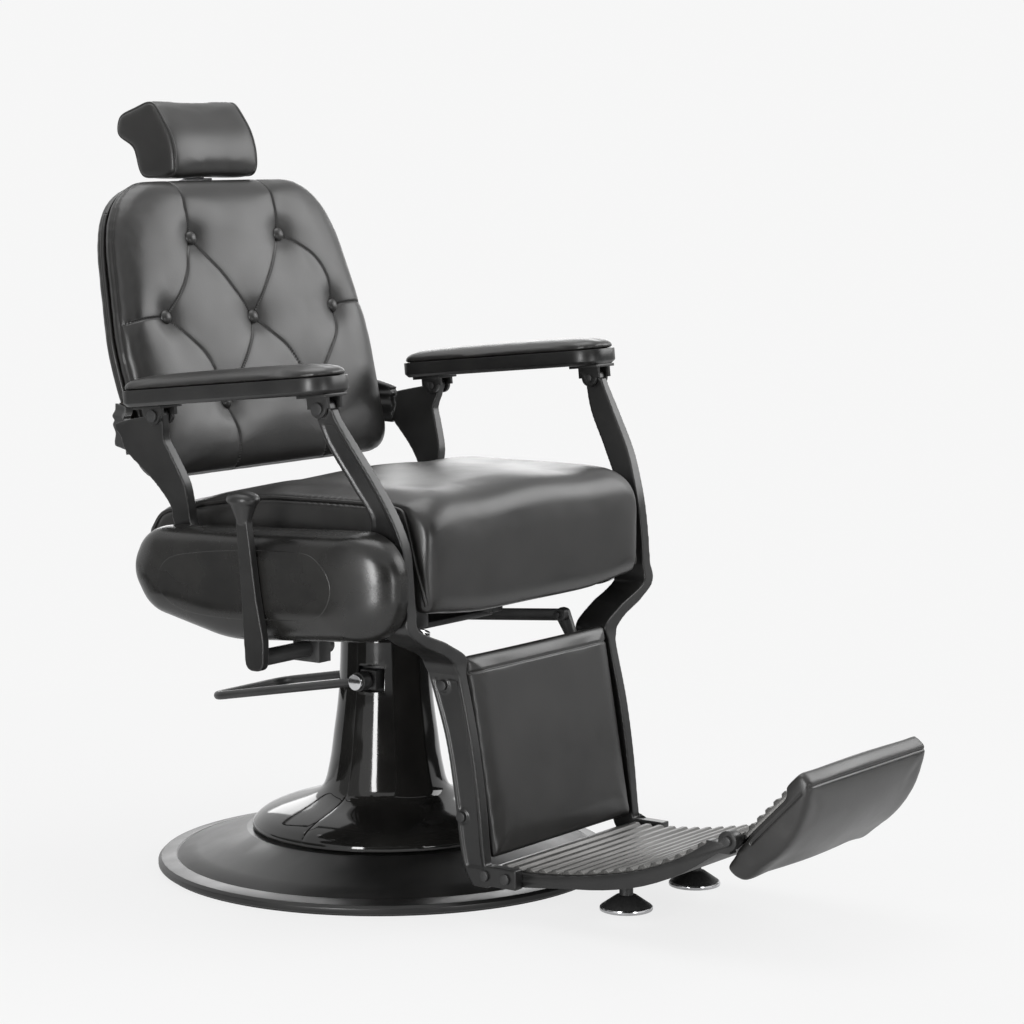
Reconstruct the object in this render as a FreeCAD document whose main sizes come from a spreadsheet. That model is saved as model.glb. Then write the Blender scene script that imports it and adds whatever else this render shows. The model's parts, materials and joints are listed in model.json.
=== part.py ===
# Barber chair: swivelling pump base, rising seat, reclining back with leg frame.
# Millimetres. X across the chair, -Y to the front, Z up, origin on the floor under the column.
import math
import os

import FreeCAD
import Part
from FreeCAD import Placement, Rotation, Vector

doc = FreeCAD.newDocument("barber_chair")
sheet = doc.addObject("Spreadsheet::Sheet", "Sizes")

# Driving sizes
SIZES = {
    "floor_pad_r": 311.0,
    "floor_pad_t": 3.0,
    "base_r": 317.0,
    "base_top_z": 52.0,
    "socket_r": 48.0,
    "bush_r": 42.0,
    "cylinder_r": 38.0,
    "ram_r": 27.0,
    "run_gap": 0.05,
    "cylinder_top": 300.0,
    "pedal_y": -20.0,
    "pedal_z": 268.0,
    "pedal_half": 80.0,
    "pedal_rod_r": 6.0,
    "pedal_reach": 277.0,
    "pedal_drop": 10.5,
    "stub_r": 7.0,
    "ram_plate_z": 345.0,
    "ram_plate_t": 8.0,
    "cross_z": 396.0,
    "cross_h": 50.0,
    "cross_w": 30.0,
    "side_plate_x": 250.0,
    "side_plate_t": 6.0,
    "board_t": 12.0,
    "front_pivot_y": -205.0,
    "front_pivot_z": 450.0,
    "rear_pivot_y": 76.0,
    "rear_pivot_z": 426.0,
    "arm_pin_dy": 62.0,
    "arm_pin_dz": 214.0,
    "link_dy": 3.0,
    "link_dz": -100.0,
    "link_x": 130.0,
    "link_t": 8.0,
    "link_h": 16.0,
    "pivot_r": 10.0,
    "pin_r": 5.0,
    "open_gap": 0.5,
    "tube_r": 16.0,
    "seat_half": 246.0,
    "frame_x": 270.0,
    "arm_x": 303.0,
    "leg_x": 173.0,
    "arm_len": 348.0,
    "arm_w": 84.0,
    "arm_tray_t": 22.0,
    "arm_mid_y": 6.5,
    "arm_mid_z": 667.4,
    "arm_tilt": 5.8,
    "back_y": 191.0,
    "back_z": 560.0,
    "back_tilt": 15.7,
    "back_board_t": 10.0,
    "leg_tilt": 10.0,
    "foot_half": 163.0,
    "flip_y": -660.0,
    "flip_z": 148.0,
    "flip_tilt": 45.2,
    "flip_half": 150.0,
    "cone_x": 82.0,
    "cone_y": -457.0,
    "cone_r": 33.0,
    "lever_x": -352.0,
    "lever_y": -66.0,
    "lever_z": 341.0,
    "lever_shaft_r": 11.0,
    "head_bar_w": 40.0,
    "head_bar_t": 6.0,
}
for row, (alias, value) in enumerate(SIZES.items(), 1):
    sheet.set("A%d" % row, alias)
    sheet.set("B%d" % row, str(value))
    sheet.setAlias("B%d" % row, alias)
doc.recompute()


def size(alias):
    return float(sheet.get(alias))


# Node list: label to document object
nodes = {}


def node(label, obj):
    obj.Label = label
    nodes[label] = obj
    return obj


# Small helpers for bound primitives
def put(obj, prop, value):
    if isinstance(value, str):
        obj.setExpression(prop, value)
    else:
        obj.setExpression(prop, repr(float(value)))


def place(obj, pos, rotation=None):
    if rotation is not None:
        obj.Placement = Placement(Vector(0, 0, 0), rotation)
    for axis, value in zip("xyz", pos):
        put(obj, "Placement.Base." + axis, value)


AXES = {
    "x": Rotation(Vector(0, 1, 0), 90),
    "y": Rotation(Vector(1, 0, 0), -90),
    "z": Rotation(),
}


def cylinder(name, radius, height, pos, axis="z"):
    obj = doc.addObject("Part::Cylinder", name)
    put(obj, "Radius", radius)
    put(obj, "Height", height)
    place(obj, pos, AXES[axis])
    return obj


def box(name, lengths, pos):
    obj = doc.addObject("Part::Box", name)
    for prop, value in zip(("Length", "Width", "Height"), lengths):
        put(obj, prop, value)
    place(obj, pos)
    return obj


def cone(name, radius_low, radius_high, height, pos):
    obj = doc.addObject("Part::Cone", name)
    put(obj, "Radius1", radius_low)
    put(obj, "Radius2", radius_high)
    put(obj, "Height", height)
    place(obj, pos)
    return obj


def fuse(name, shapes):
    obj = doc.addObject("Part::MultiFuse", name)
    obj.Shapes = shapes
    return obj


def cut(name, base, tool):
    obj = doc.addObject("Part::Cut", name)
    obj.Base = base
    obj.Tool = tool
    return obj


def common(name, first, second):
    obj = doc.addObject("Part::Common", name)
    obj.Base = first
    obj.Tool = second
    return obj


def compound(name, links):
    obj = doc.addObject("Part::Compound", name)
    obj.Links = links
    return obj


def feature(name, shape, placement=None):
    obj = doc.addObject("Part::Feature", name)
    obj.Shape = shape
    if placement is not None:
        obj.Placement = placement
    return obj


# Outline with rounded corners: list of (a, b, radius), as lines and short arcs
def rounded(corners):
    count = len(corners)
    stops = []
    for i, (a, b, radius) in enumerate(corners):
        here = Vector(a, b, 0)
        before = Vector(corners[i - 1][0], corners[i - 1][1], 0)
        after = Vector(corners[(i + 1) % count][0], corners[(i + 1) % count][1], 0)
        if radius <= 0:
            stops.append((here, None, here))
            continue
        u = (before - here).normalize()
        v = (after - here).normalize()
        half = 0.5 * math.acos(max(-1.0, min(1.0, u.dot(v))))
        reach = radius / math.tan(half)
        middle = (u + v).normalize()
        centre = here + middle * (radius / math.sin(half))
        stops.append((here + u * reach, centre - middle * radius, here + v * reach))
    pieces = []
    for i in range(count):
        start, mid, end = stops[i]
        if mid is not None:
            pieces.append(Part.Arc(start, mid, end))
        following = stops[(i + 1) % count][0]
        if (following - end).Length > 1e-6:
            pieces.append(Part.LineSegment(end, following))
    return pieces


def wire_in(plane, level, corners):
    wire = Part.Wire([piece.toShape() for piece in rounded(corners)])
    if plane == "yz":
        turn = Rotation(Vector(0, 1, 0), Vector(0, 0, 1), Vector(1, 0, 0), "XYZ")
        wire.Placement = Placement(Vector(level, 0, 0), turn)
    elif plane == "xz":
        turn = Rotation(Vector(1, 0, 0), Vector(0, 0, 1), Vector(0, -1, 0), "XYZ")
        wire.Placement = Placement(Vector(0, level, 0), turn)
    else:
        wire.Placement = Placement(Vector(0, 0, level), Rotation())
    return wire


def loft(wires, ruled=False):
    shape = Part.makeLoft(wires, True, ruled)
    return shape


def grown(corners, amount, round_share=0.6):
    middle_a = 0.5 * (max(c[0] for c in corners) + min(c[0] for c in corners))
    middle_b = 0.5 * (max(c[1] for c in corners) + min(c[1] for c in corners))
    half_a = max(c[0] for c in corners) - middle_a
    half_b = max(c[1] for c in corners) - middle_b
    out = []
    for a, b, radius in corners:
        scale_a = (half_a + amount) / half_a
        scale_b = (half_b + amount) / half_b
        out.append((middle_a + (a - middle_a) * scale_a,
                    middle_b + (b - middle_b) * scale_b,
                    max(radius + amount * round_share, 1.5)))
    return out


# Extruded plate as a body with a sketch; plane "yz" pads along X, "xy" along Z, "xz" along -Y
PLANES = {"xy": "XY_Plane", "xz": "XZ_Plane", "yz": "YZ_Plane"}


def plate(name, plane, corners, start, thickness, holes=()):
    body = doc.addObject("PartDesign::Body", name)
    doc.recompute()
    support = [f for f in body.Origin.OriginFeatures if f.Role == PLANES[plane]][0]
    sketch = body.newObject("Sketcher::SketchObject", name + "_outline")
    sketch.AttachmentSupport = (support, [""])
    sketch.MapMode = "FlatFace"
    put(sketch, "AttachmentOffset.Base.z", start)
    for piece in rounded(corners):
        sketch.addGeometry(piece, False)
    for a, b, radius in holes:
        sketch.addGeometry(Part.Circle(Vector(a, b, 0), Vector(0, 0, 1), radius), False)
    pad = body.newObject("PartDesign::Pad", name + "_pad")
    pad.Profile = sketch
    put(pad, "Length", thickness)
    doc.recompute()
    return body


def turned(name, profile, angle=360.0, backwards=False):
    body = doc.addObject("PartDesign::Body", name)
    doc.recompute()
    support = [f for f in body.Origin.OriginFeatures if f.Role == "XZ_Plane"][0]
    sketch = body.newObject("Sketcher::SketchObject", name + "_profile")
    sketch.AttachmentSupport = (support, [""])
    sketch.MapMode = "FlatFace"
    for piece in rounded(profile):
        sketch.addGeometry(piece, False)
    spin = body.newObject("PartDesign::Revolution", name + "_spin")
    spin.Profile = sketch
    spin.ReferenceAxis = (sketch, ["V_Axis"])
    put(spin, "Angle", angle)
    spin.Reversed = backwards
    doc.recompute()
    return body


def smooth(points, steps=3):
    out = []
    for i in range(len(points) - 1):
        p0 = points[max(i - 1, 0)]
        p1 = points[i]
        p2 = points[i + 1]
        p3 = points[min(i + 2, len(points) - 1)]
        for k in range(steps):
            t = k / steps
            out.append(tuple(
                0.5 * (2 * b + (c - a) * t + (2 * a - 5 * b + 4 * c - d) * t * t
                       + (3 * b - a - 3 * c + d) * t ** 3)
                for a, b, c, d in zip(p0, p1, p2, p3)))
    out.append(points[-1])
    return out


# Pivot places
FRONT = (size("front_pivot_y"), size("front_pivot_z"))
REAR = (size("rear_pivot_y"), size("rear_pivot_z"))
ARM_FRONT = (FRONT[0] + size("arm_pin_dy"), FRONT[1] + size("arm_pin_dz"))
ARM_REAR = (REAR[0] + size("arm_pin_dy"), REAR[1] + size("arm_pin_dz"))
LINK_FRONT = (FRONT[0] + size("link_dy"), FRONT[1] + size("link_dz"))
LINK_REAR = (REAR[0] + size("link_dy"), REAR[1] + size("link_dz"))
TURN_BACK = Rotation(Vector(1, 0, 0), -size("back_tilt"))
TURN_ARM = Rotation(Vector(1, 0, 0), -size("arm_tilt"))
TURN_LEG = Rotation(Vector(1, 0, 0), -size("leg_tilt"))
TURN_FLIP = Rotation(Vector(1, 0, 0), -size("flip_tilt"))
SIDES = (("left", 1), ("right", -1))


def make_base():
    node("floor_pad", cylinder("FloorPad", "Sizes.floor_pad_r", "Sizes.floor_pad_t", (0, 0, 0)))
    low = size("floor_pad_t")
    top = size("base_top_z")
    r = size("base_r")
    profile = [(r - 16, low, 0), (r - 2, low, 0), (r, low + 2, 0), (r, 11, 2), (r - 4, 15, 2),
               (r - 25, 18.5, 0), (r - 27, 16.5, 0), (r - 31, 20, 0), (262, 28, 0), (236, 38, 0),
               (212, 46, 0), (194, top, 4), (50, top, 0), (50, top - 9, 0), (190, top - 9, 0),
               (212, 37, 0), (236, 29, 0), (262, 18, 0), (r - 22, 8, 0)]
    node("base_plate", turned("BasePlate", profile))
    cup = cylinder("SocketBody", "Sizes.socket_r", 124, (0, 0, 6))
    flange = cylinder("SocketFlange", 82, 8, (0, 0, "Sizes.base_top_z"))
    bore = cylinder("SocketBore", "Sizes.bush_r", 130, (0, 0, 12))
    holes = [cylinder("SocketHole%d" % i, 5, 20, (66 * math.cos(a), 66 * math.sin(a), 46))
             for i, a in enumerate(math.radians(45 + 90 * k) for k in range(4))]
    socket = fuse("SocketFuse", [cup, flange])
    node("base_socket", cut("SocketCut", socket, fuse("SocketTools", [bore] + holes)))
    outer = cylinder("BushOuter", "Sizes.bush_r", 116, (0, 0, 12))
    inner = cylinder("BushInner", "Sizes.cylinder_r + Sizes.run_gap", 140, (0, 0, 16))
    node("swivel_bush", cut("BushCut", outer, inner))
    bolts = []
    for i in range(4):
        a = math.radians(45 + 90 * i)
        x = 66 * math.cos(a)
        y = 66 * math.sin(a)
        bolts.append(fuse("SocketBolt%d" % i, [
            cylinder("SocketShank%d" % i, 5, 13, (x, y, 47)),
            cylinder("SocketHead%d" % i, 8, 6, (x, y, 60))]))
    node("socket_bolts", compound("SocketBolts", bolts))
    plate_body = nodes["base_plate"]
    holes = [cylinder("BasePlateHole%d" % i, 5, 20,
                      (66 * math.cos(math.radians(45 + 90 * i)),
                       66 * math.sin(math.radians(45 + 90 * i)), 40)) for i in range(4)]
    node("base_plate", cut("BasePlateCut", plate_body, fuse("BasePlateHoles", holes)))


COLUMN = [(62, 322), (62.8, 290), (65, 245), (68, 216), (72, 187), (76, 156), (80, 134), (84.5, 116),
          (92, 104), (112, 94.5), (146, 84), (172, 73), (185, 62)]


def make_pump():
    outer = cylinder("PumpOuter", "Sizes.cylinder_r", "Sizes.cylinder_top - 16.3", (0, 0, 16.3))
    bore = cylinder("PumpBore", "Sizes.ram_r + Sizes.run_gap", 400, (0, 0, 26))
    node("pump_cylinder", cut("PumpCut", outer, bore))
    ring = cylinder("HeadRing", 50, 44, (0, 0, 248))
    ears = [box("HeadEar%d" % s, (20, 26, 26), (s * 54 - 10, "Sizes.pedal_y - 13", "Sizes.pedal_z - 13"))
            for s in (-1, 1)]
    hole = cylinder("HeadHole", "Sizes.cylinder_r", 60, (0, 0, 240))
    pivots = [cylinder("HeadPivot%d" % s, "Sizes.stub_r", 26,
                       (s * 53 - 13, "Sizes.pedal_y", "Sizes.pedal_z"), "x") for s in (-1, 1)]
    node("pump_head", cut("HeadCut", fuse("HeadFuse", [ring] + ears), fuse("HeadTools", [hole] + pivots)))
    outline = [(r, z, 0) for r, z in smooth(COLUMN)]
    inside = [(r - 4.0, z - (3.0 if r > 90 else 0.5), 0) for r, z in smooth(COLUMN)]
    inside[0] = (58, 318, 0)
    profile = outline + [(186, 55.5, 0), (182, 55.5, 0)] + inside[::-1] + [(52, 318, 0), (52, 322, 0)]
    windows = [box("CoverWindow%d" % s, (60, 36, 36),
                   (s * 70 - 30, "Sizes.pedal_y - 18", "Sizes.pedal_z - 18")) for s in (-1, 1)]
    pocket = fuse("CoverWindows", windows)
    node("column_cover_front", cut("CoverFront", turned("CoverFrontBody", profile, 180.0, True), pocket))
    node("column_cover_rear", cut("CoverRear", turned("CoverRearBody", profile, 180.0, False), pocket))
    stubs = [cylinder("Stub%d" % s, "Sizes.stub_r", 50,
                      (s * 66 - 25, "Sizes.pedal_y", "Sizes.pedal_z"), "x") for s in (-1, 1)]
    heads = [cylinder("StubHead%d" % s, 11, 5, (s * 91.5 - 2.5, "Sizes.pedal_y", "Sizes.pedal_z"), "x")
             for s in (-1, 1)]
    pivots = [fuse("PedalPivot%d" % i, list(pair)) for i, pair in enumerate(zip(stubs, heads))]
    node("pedal_pivots", compound("PedalPivots", pivots))


def make_pedal():
    half = size("pedal_half")
    reach = size("pedal_reach")
    r = size("pedal_rod_r")
    bend = 26.0
    k = bend * (1 - math.sqrt(0.5))
    points = [Vector(-half, 12, 0), Vector(-half, reach - bend, 0), Vector(-half + k, reach - k, 0),
              Vector(-half + bend, reach, 0), Vector(half - bend, reach, 0), Vector(half - k, reach - k, 0),
              Vector(half, reach - bend, 0), Vector(half, 12, 0)]
    edges = [Part.makeLine(points[0], points[1]), Part.Arc(points[1], points[2], points[3]).toShape(),
             Part.makeLine(points[3], points[4]), Part.Arc(points[4], points[5], points[6]).toShape(),
             Part.makeLine(points[6], points[7])]
    ring = Part.Wire(Part.makeCircle(r, points[0], Vector(0, 1, 0)))
    rod = Part.Wire(edges).makePipeShell([ring], True, False)
    hubs = []
    for s in (-1, 1):
        hubs.append(Part.makeCylinder(13, 16, Vector(s * half - 8, 0, 0), Vector(1, 0, 0)))
    shape = rod.fuse(hubs)
    bore = Part.makeCylinder(size("stub_r") + size("run_gap"), 400, Vector(-200, 0, 0), Vector(1, 0, 0))
    shape = shape.cut(bore)
    turn = Rotation(Vector(1, 0, 0), -size("pedal_drop"))
    place = Placement(Vector(0, size("pedal_y"), size("pedal_z")), turn)
    node("pedal_loop", feature("PedalLoop", shape, place))


def make_seat_frame():
    node("pump_ram", cylinder("Ram", "Sizes.ram_r", "Sizes.ram_plate_z - 40", (0, 0, 40)))
    outline = [(-110, -110, 12), (110, -110, 12), (110, 90, 12), (-110, 90, 12)]
    node("ram_plate", plate("RamPlate", "xy", outline, "Sizes.ram_plate_z", "Sizes.ram_plate_t"))
    rails = [box("Riser%d" % s, (26, 210, "Sizes.cross_z - Sizes.ram_plate_z - Sizes.ram_plate_t"),
                 (s * 85 - 13, -130, "Sizes.ram_plate_z + Sizes.ram_plate_t")) for s in (-1, 1)]
    node("seat_riser", compound("SeatRiser", rails))
    bars = [box("CrossBar%d" % i, ("2 * Sizes.side_plate_x", "Sizes.cross_w", "Sizes.cross_h"),
                ("-Sizes.side_plate_x", y, "Sizes.cross_z")) for i, y in enumerate((-140, -10))]
    node("seat_crossbars", compound("SeatCrossbars", bars))
    outline = [(-236, 428, 18), (-236, 478, 18), (-180, 482, 20), (96, 466, 22), (112, 430, 16),
               (98, 392, 12), (-168, 392, 14)]
    holes = [(FRONT[0], FRONT[1], size("pivot_r")), (REAR[0], REAR[1], size("tube_r") + size("run_gap"))]
    for side, s in SIDES:
        start = "Sizes.side_plate_x" if s > 0 else "-Sizes.side_plate_x - Sizes.side_plate_t"
        side_plate = plate("SidePlate" + side, "yz", outline, start, "Sizes.side_plate_t", holes)
        node("side_plate_" + side, side_plate)
    pins = []
    for side, s in SIDES:
        pins.append(fuse("PivotPin" + side, [
            cylinder("PivotShank" + side, "Sizes.pivot_r", 34, (s * 267 - 17, "Sizes.front_pivot_y",
                                                              "Sizes.front_pivot_z"), "x"),
            cylinder("PivotHead" + side, 15, 4, (s * 282 - 2, "Sizes.front_pivot_y",
                                               "Sizes.front_pivot_z"), "x")]))
    node("front_pivot_pins", compound("PivotPins", pins))
    outline = [(-232, -222, 20), (232, -222, 20), (232, 178, 30), (-232, 178, 30)]
    node("seat_board", plate("SeatBoard", "xy", outline, "Sizes.cross_z + Sizes.cross_h", "Sizes.board_t"))
    arm = box("LeverBracketArm", (60, 44, 16), (-252, "Sizes.lever_y - 22", 376))
    ear = box("LeverBracketEar", (24, 44, "393 - Sizes.lever_z"),
              (-252, "Sizes.lever_y - 22", "Sizes.lever_z - 17"))
    hole = cylinder("LeverBracketHole", "Sizes.lever_shaft_r + Sizes.run_gap", 60,
                    (-270, "Sizes.lever_y", "Sizes.lever_z"), "x")
    post = box("LeverBracketPost", (12, 30, 20), ("-Sizes.side_plate_x", "Sizes.lever_y - 15", 388))
    node("lever_bracket", cut("LeverBracketCut", fuse("LeverBracket", [arm, ear, post]), hole))


# Seat cushion sections across the chair: crowned top, waterfall front, drawn-in sides
def seat_section(x, drop, draw, hang):
    low = 399 + draw - hang
    return wire_in("yz", x, [
        (-229, low + 1, 5), (-262 + draw, low, 14), (-265 + draw, 558 - drop, 44), (10, 556 - drop, 260),
        (196 - draw, 513 - 0.35 * drop, 22), (224 - draw, 476 - 0.1 * drop, 9), (217 - draw, 459, 5),
        (-229, 459, 3)])


def make_seat_cushion():
    half = size("seat_half")
    rows = [(1.0, 30, 9, 0), (0.985, 22, 3, 0), (0.93, 13, 0, 0), (0.6, 5, 0, 8), (0.2, 0.6, 0, 10)]
    wires = [seat_section(-half * k, *row) for k, *row in rows]
    wires += [seat_section(half * k, *row) for k, *row in rows[::-1]]
    node("seat_cushion", feature("SeatCushion", loft(wires)))


# Side cover outline from its front end; the left one stops short, as it is out of sight in the photo
COVER_FRONT = {1: -209, -1: -265}
COVER = [(152, 494, 50), (178, 438, 50), (146, 383, 60), (10, 353, 200)]


def cover_level(side, x, shrink, nose):
    front = COVER_FRONT[side] + nose
    outline = [(front, 374, 62), (front, 513, 62)] + COVER
    return wire_in("yz", side * x, grown(outline, -shrink, 1.0))


def make_covers():
    rows = [(290, 0, 0), (306, 0.5, 2), (322, 5, 8), (333, 15, 20), (340, 30, 34), (343.5, 46, 50)]
    inner = [(289, 4, 0), (304, 4.5, 2), (318, 9, 8), (329, 19, 20), (336, 34, 34), (339, 46, 50)]
    for side, s in SIDES:
        skin = loft([cover_level(s, *row) for row in rows])
        room = loft([cover_level(s, *row) for row in inner])
        shell = skin.cut(room)
        for y, z in ((-100, 420), (-20, 418)):
            post = Part.makeCylinder(9, 85, Vector(256 if s > 0 else -341, y, z), Vector(1, 0, 0))
            shell = shell.fuse(post)
        node("side_cover_" + side, feature("SideCover" + side, shell.removeSplitter()))


def make_lever():
    start = ("Sizes.lever_x + 6", "Sizes.lever_y", "Sizes.lever_z")
    node("lever_shaft", cylinder("LeverShaft", "Sizes.lever_shaft_r", 140, start, "x"))
    outline = [(-82, 326, 12), (-83, 366, 60), (-71, 420, 90), (-56, 524, 2), (-38, 524, 2), (-47, 417, 90),
               (-50, 366, 60), (-53, 326, 12)]
    node("recline_lever", plate("LeverBar", "yz", outline, "Sizes.lever_x - 6", 12))
    knob = loft([wire_in("xy", z, [(-352 - a, -46.5 - b, 0.6 * a), (-352 + a, -46.5 - b, 0.6 * a),
                                   (-352 + a, -46.5 + b, 0.6 * a), (-352 - a, -46.5 + b, 0.6 * a)])
                 for z, a, b in ((520, 9, 13), (532, 12, 19), (544, 12.5, 21), (553, 10, 17), (557, 5, 9))])
    bar = nodes["recline_lever"].Shape
    node("lever_knob", feature("LeverKnob", knob.cut(bar)))


# Side casting stations: height, front edge, rear edge, middle across, thickness across
FRAME = [(664, -158.5, -131, 303, 13), (650, -165, -134, 302, 14), (616, -186, -147, 296, 16),
         (567, -216, -177, 286, 17), (526, -235, -199, 276, 18), (489, -247, -190, 270, 18),
         (450, -252, -178, 270, 18), (412, -255, -192, 270, 18), (384, -258, -206, 270, 22),
         (361, -259, -209, 226, 46), (338, -260, -210, 180, 36), (314, -263, -212, 173, 16),
         (234, -281.6, -239, 173, 16), (157, -294, -254, 173, 16), (92, -301, -263, 173, 16),
         (61, -305, -271, 173, 16), (41, -308, -284, 173, 16)]


def station(s, row):
    z, front, rear, x, t = row
    wire = Part.makePolygon([Vector(s * x - t / 2, front, z), Vector(s * x + t / 2, front, z),
                             Vector(s * x + t / 2, rear, z), Vector(s * x - t / 2, rear, z),
                             Vector(s * x - t / 2, front, z)])
    return wire


def make_front_frame():
    for side, s in SIDES:
        shape = loft([station(s, row) for row in FRAME], True)
        x = s * size("frame_x")
        boss = Part.makeCylinder(24, 18, Vector(x - 9, FRONT[0], FRONT[1]), Vector(1, 0, 0))
        lug = Part.makeBox(16, 62, 26, Vector(s * size("leg_x") - 8, -352, 44))
        eye = Part.makeCylinder(12.5, 15, Vector(s * size("arm_x") - 7.5, *ARM_FRONT), Vector(1, 0, 0))
        shape = shape.fuse([boss, lug, eye])
        holes = [Part.makeCylinder(size("pivot_r") + size("run_gap"), 60,
                                   Vector(x - 30, *FRONT), Vector(1, 0, 0)),
                 Part.makeCylinder(size("pin_r") + size("run_gap"), 60,
                                   Vector(s * size("arm_x") - 30, *ARM_FRONT), Vector(1, 0, 0))]
        for y, z in FRAME_BOLTS:
            holes.append(Part.makeCylinder(4, 60, Vector(s * size("leg_x") - 30, y, z), Vector(1, 0, 0)))
        node("side_frame_" + side, feature("SideFrame" + side, shape.cut(holes).removeSplitter()))


FRAME_BOLTS = [(-236, 300), (-266, 130), (-303, 57), (-336, 57)]


def make_frame_bolts():
    bolts = []
    for side, s in SIDES:
        for i, (y, z) in enumerate(FRAME_BOLTS):
            start = size("leg_x") - 18
            shank = Part.makeCylinder(4, 26, Vector(start, y, z), Vector(1, 0, 0))
            head = Part.makeCylinder(7, 4, Vector(size("leg_x") + 8, y, z), Vector(1, 0, 0))
            bolt = shank.fuse(head)
            if s < 0:
                bolt = bolt.mirror(Vector(0, 0, 0), Vector(1, 0, 0))
            bolts.append(bolt)
    node("frame_bolts", feature("FrameBolts", Part.makeCompound(bolts)))


def make_legrest():
    half = size("leg_x") - 11.5
    base = Placement(Vector(0, -305, 76), TURN_LEG)
    outline = [(-half, 10, 4), (half, 10, 4), (half, 267, 4), (-half, 267, 4)]
    rows = [(3.5, 0.0), (0, 2.2), (-3, 7.5), (-5, 18.0)]
    crown = loft([wire_in("xz", y, grown(outline, -k)) for y, k in rows])
    boxing = Part.Face(wire_in("xz", 3.5, grown(outline, 0))).extrude(Vector(0, 7.5, 0))
    node("legrest_cushion", feature("LegrestCushion", crown.fuse(boxing).removeSplitter(), base))
    board = Part.makeBox(2 * half, 9, 240, Vector(-half, 11, 18))
    node("legrest_board", feature("LegrestBoard", board, base))
    inside = size("leg_x") - 8.0
    upper = Part.makeBox(2 * inside, 23, 22, Vector(-inside, -243.2, 289))
    lug_outline = [(-234, 300, 6), (-222, 300, 4), (LINK_FRONT[0] + 9, LINK_FRONT[1] - 6, 6),
                   (LINK_FRONT[0] + 5, LINK_FRONT[1] + 10, 7), (LINK_FRONT[0] - 9, LINK_FRONT[1] + 8, 7)]
    face = Part.Face(wire_in("yz", size("link_x") + 6, lug_outline))
    upper = upper.fuse(face.extrude(Vector(7, 0, 0)))
    pin = Part.makeCylinder(size("pin_r"), 20, Vector(size("link_x") - 7, *LINK_FRONT), Vector(1, 0, 0))
    bolt_room = [Part.makeCylinder(4, 60, Vector(s * size("leg_x") - 30, *FRAME_BOLTS[0]), Vector(1, 0, 0))
                 for s in (-1, 1)]
    node("leg_cross_upper", feature("LegCrossUpper", upper.fuse(pin).cut(bolt_room).removeSplitter()))
    lower = Part.makeBox(2 * inside, 14, 24, Vector(-inside, -272.9, 118))
    bolt_room = [Part.makeCylinder(4, 60, Vector(s * size("leg_x") - 30, *FRAME_BOLTS[1]), Vector(1, 0, 0))
                 for s in (-1, 1)]
    node("leg_cross_lower", feature("LegCrossLower", lower.cut(bolt_room)))


FOOT_LOW = [(-296, 45), (-345, 45), (-415, 53), (-477, 60), (-537, 74), (-596, 99), (-646, 131)]
FOOT_TOP = [(-638, 147), (-592, 118), (-533, 93), (-472, 78), (-410, 68), (-345, 63), (-296, 63)]


# Ribbed strip along a path: points and a ridge on every step
def ribbed(path, pitch, height, thickness):
    lengths = [0.0]
    for p, q in zip(path, path[1:]):
        lengths.append(lengths[-1] + math.hypot(q[0] - p[0], q[1] - p[1]))

    def along(s):
        for i in range(len(path) - 1):
            if s <= lengths[i + 1] + 1e-9:
                k = (s - lengths[i]) / (lengths[i + 1] - lengths[i])
                dy = (path[i + 1][0] - path[i][0]) / (lengths[i + 1] - lengths[i])
                dz = (path[i + 1][1] - path[i][1]) / (lengths[i + 1] - lengths[i])
                at = tuple(a + k * (b - a) for a, b in zip(path[i], path[i + 1]))
                return at, (dy, dz)
        return path[-1], (dy, dz)

    count = int(lengths[-1] / pitch)
    top = []
    for i in range(count):
        for k, h in ((0.08, 0.0), (0.26, 1.0), (0.62, 1.0), (0.80, 0.0)):
            (y, z), (dy, dz) = along((i + k) * lengths[-1] / count)
            rise = thickness + h * height
            top.append((y + dz * rise, z - dy * rise, 0))
    low = [(y, z, 0) for y, z in path]
    (y, z), (dy, dz) = along(0.0)
    first = (y + dz * thickness, z - dy * thickness, 0)
    (y, z), (dy, dz) = along(lengths[-1])
    last = (y + dz * thickness, z - dy * thickness, 0)
    return [first] + top + [last] + low[::-1]


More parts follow.
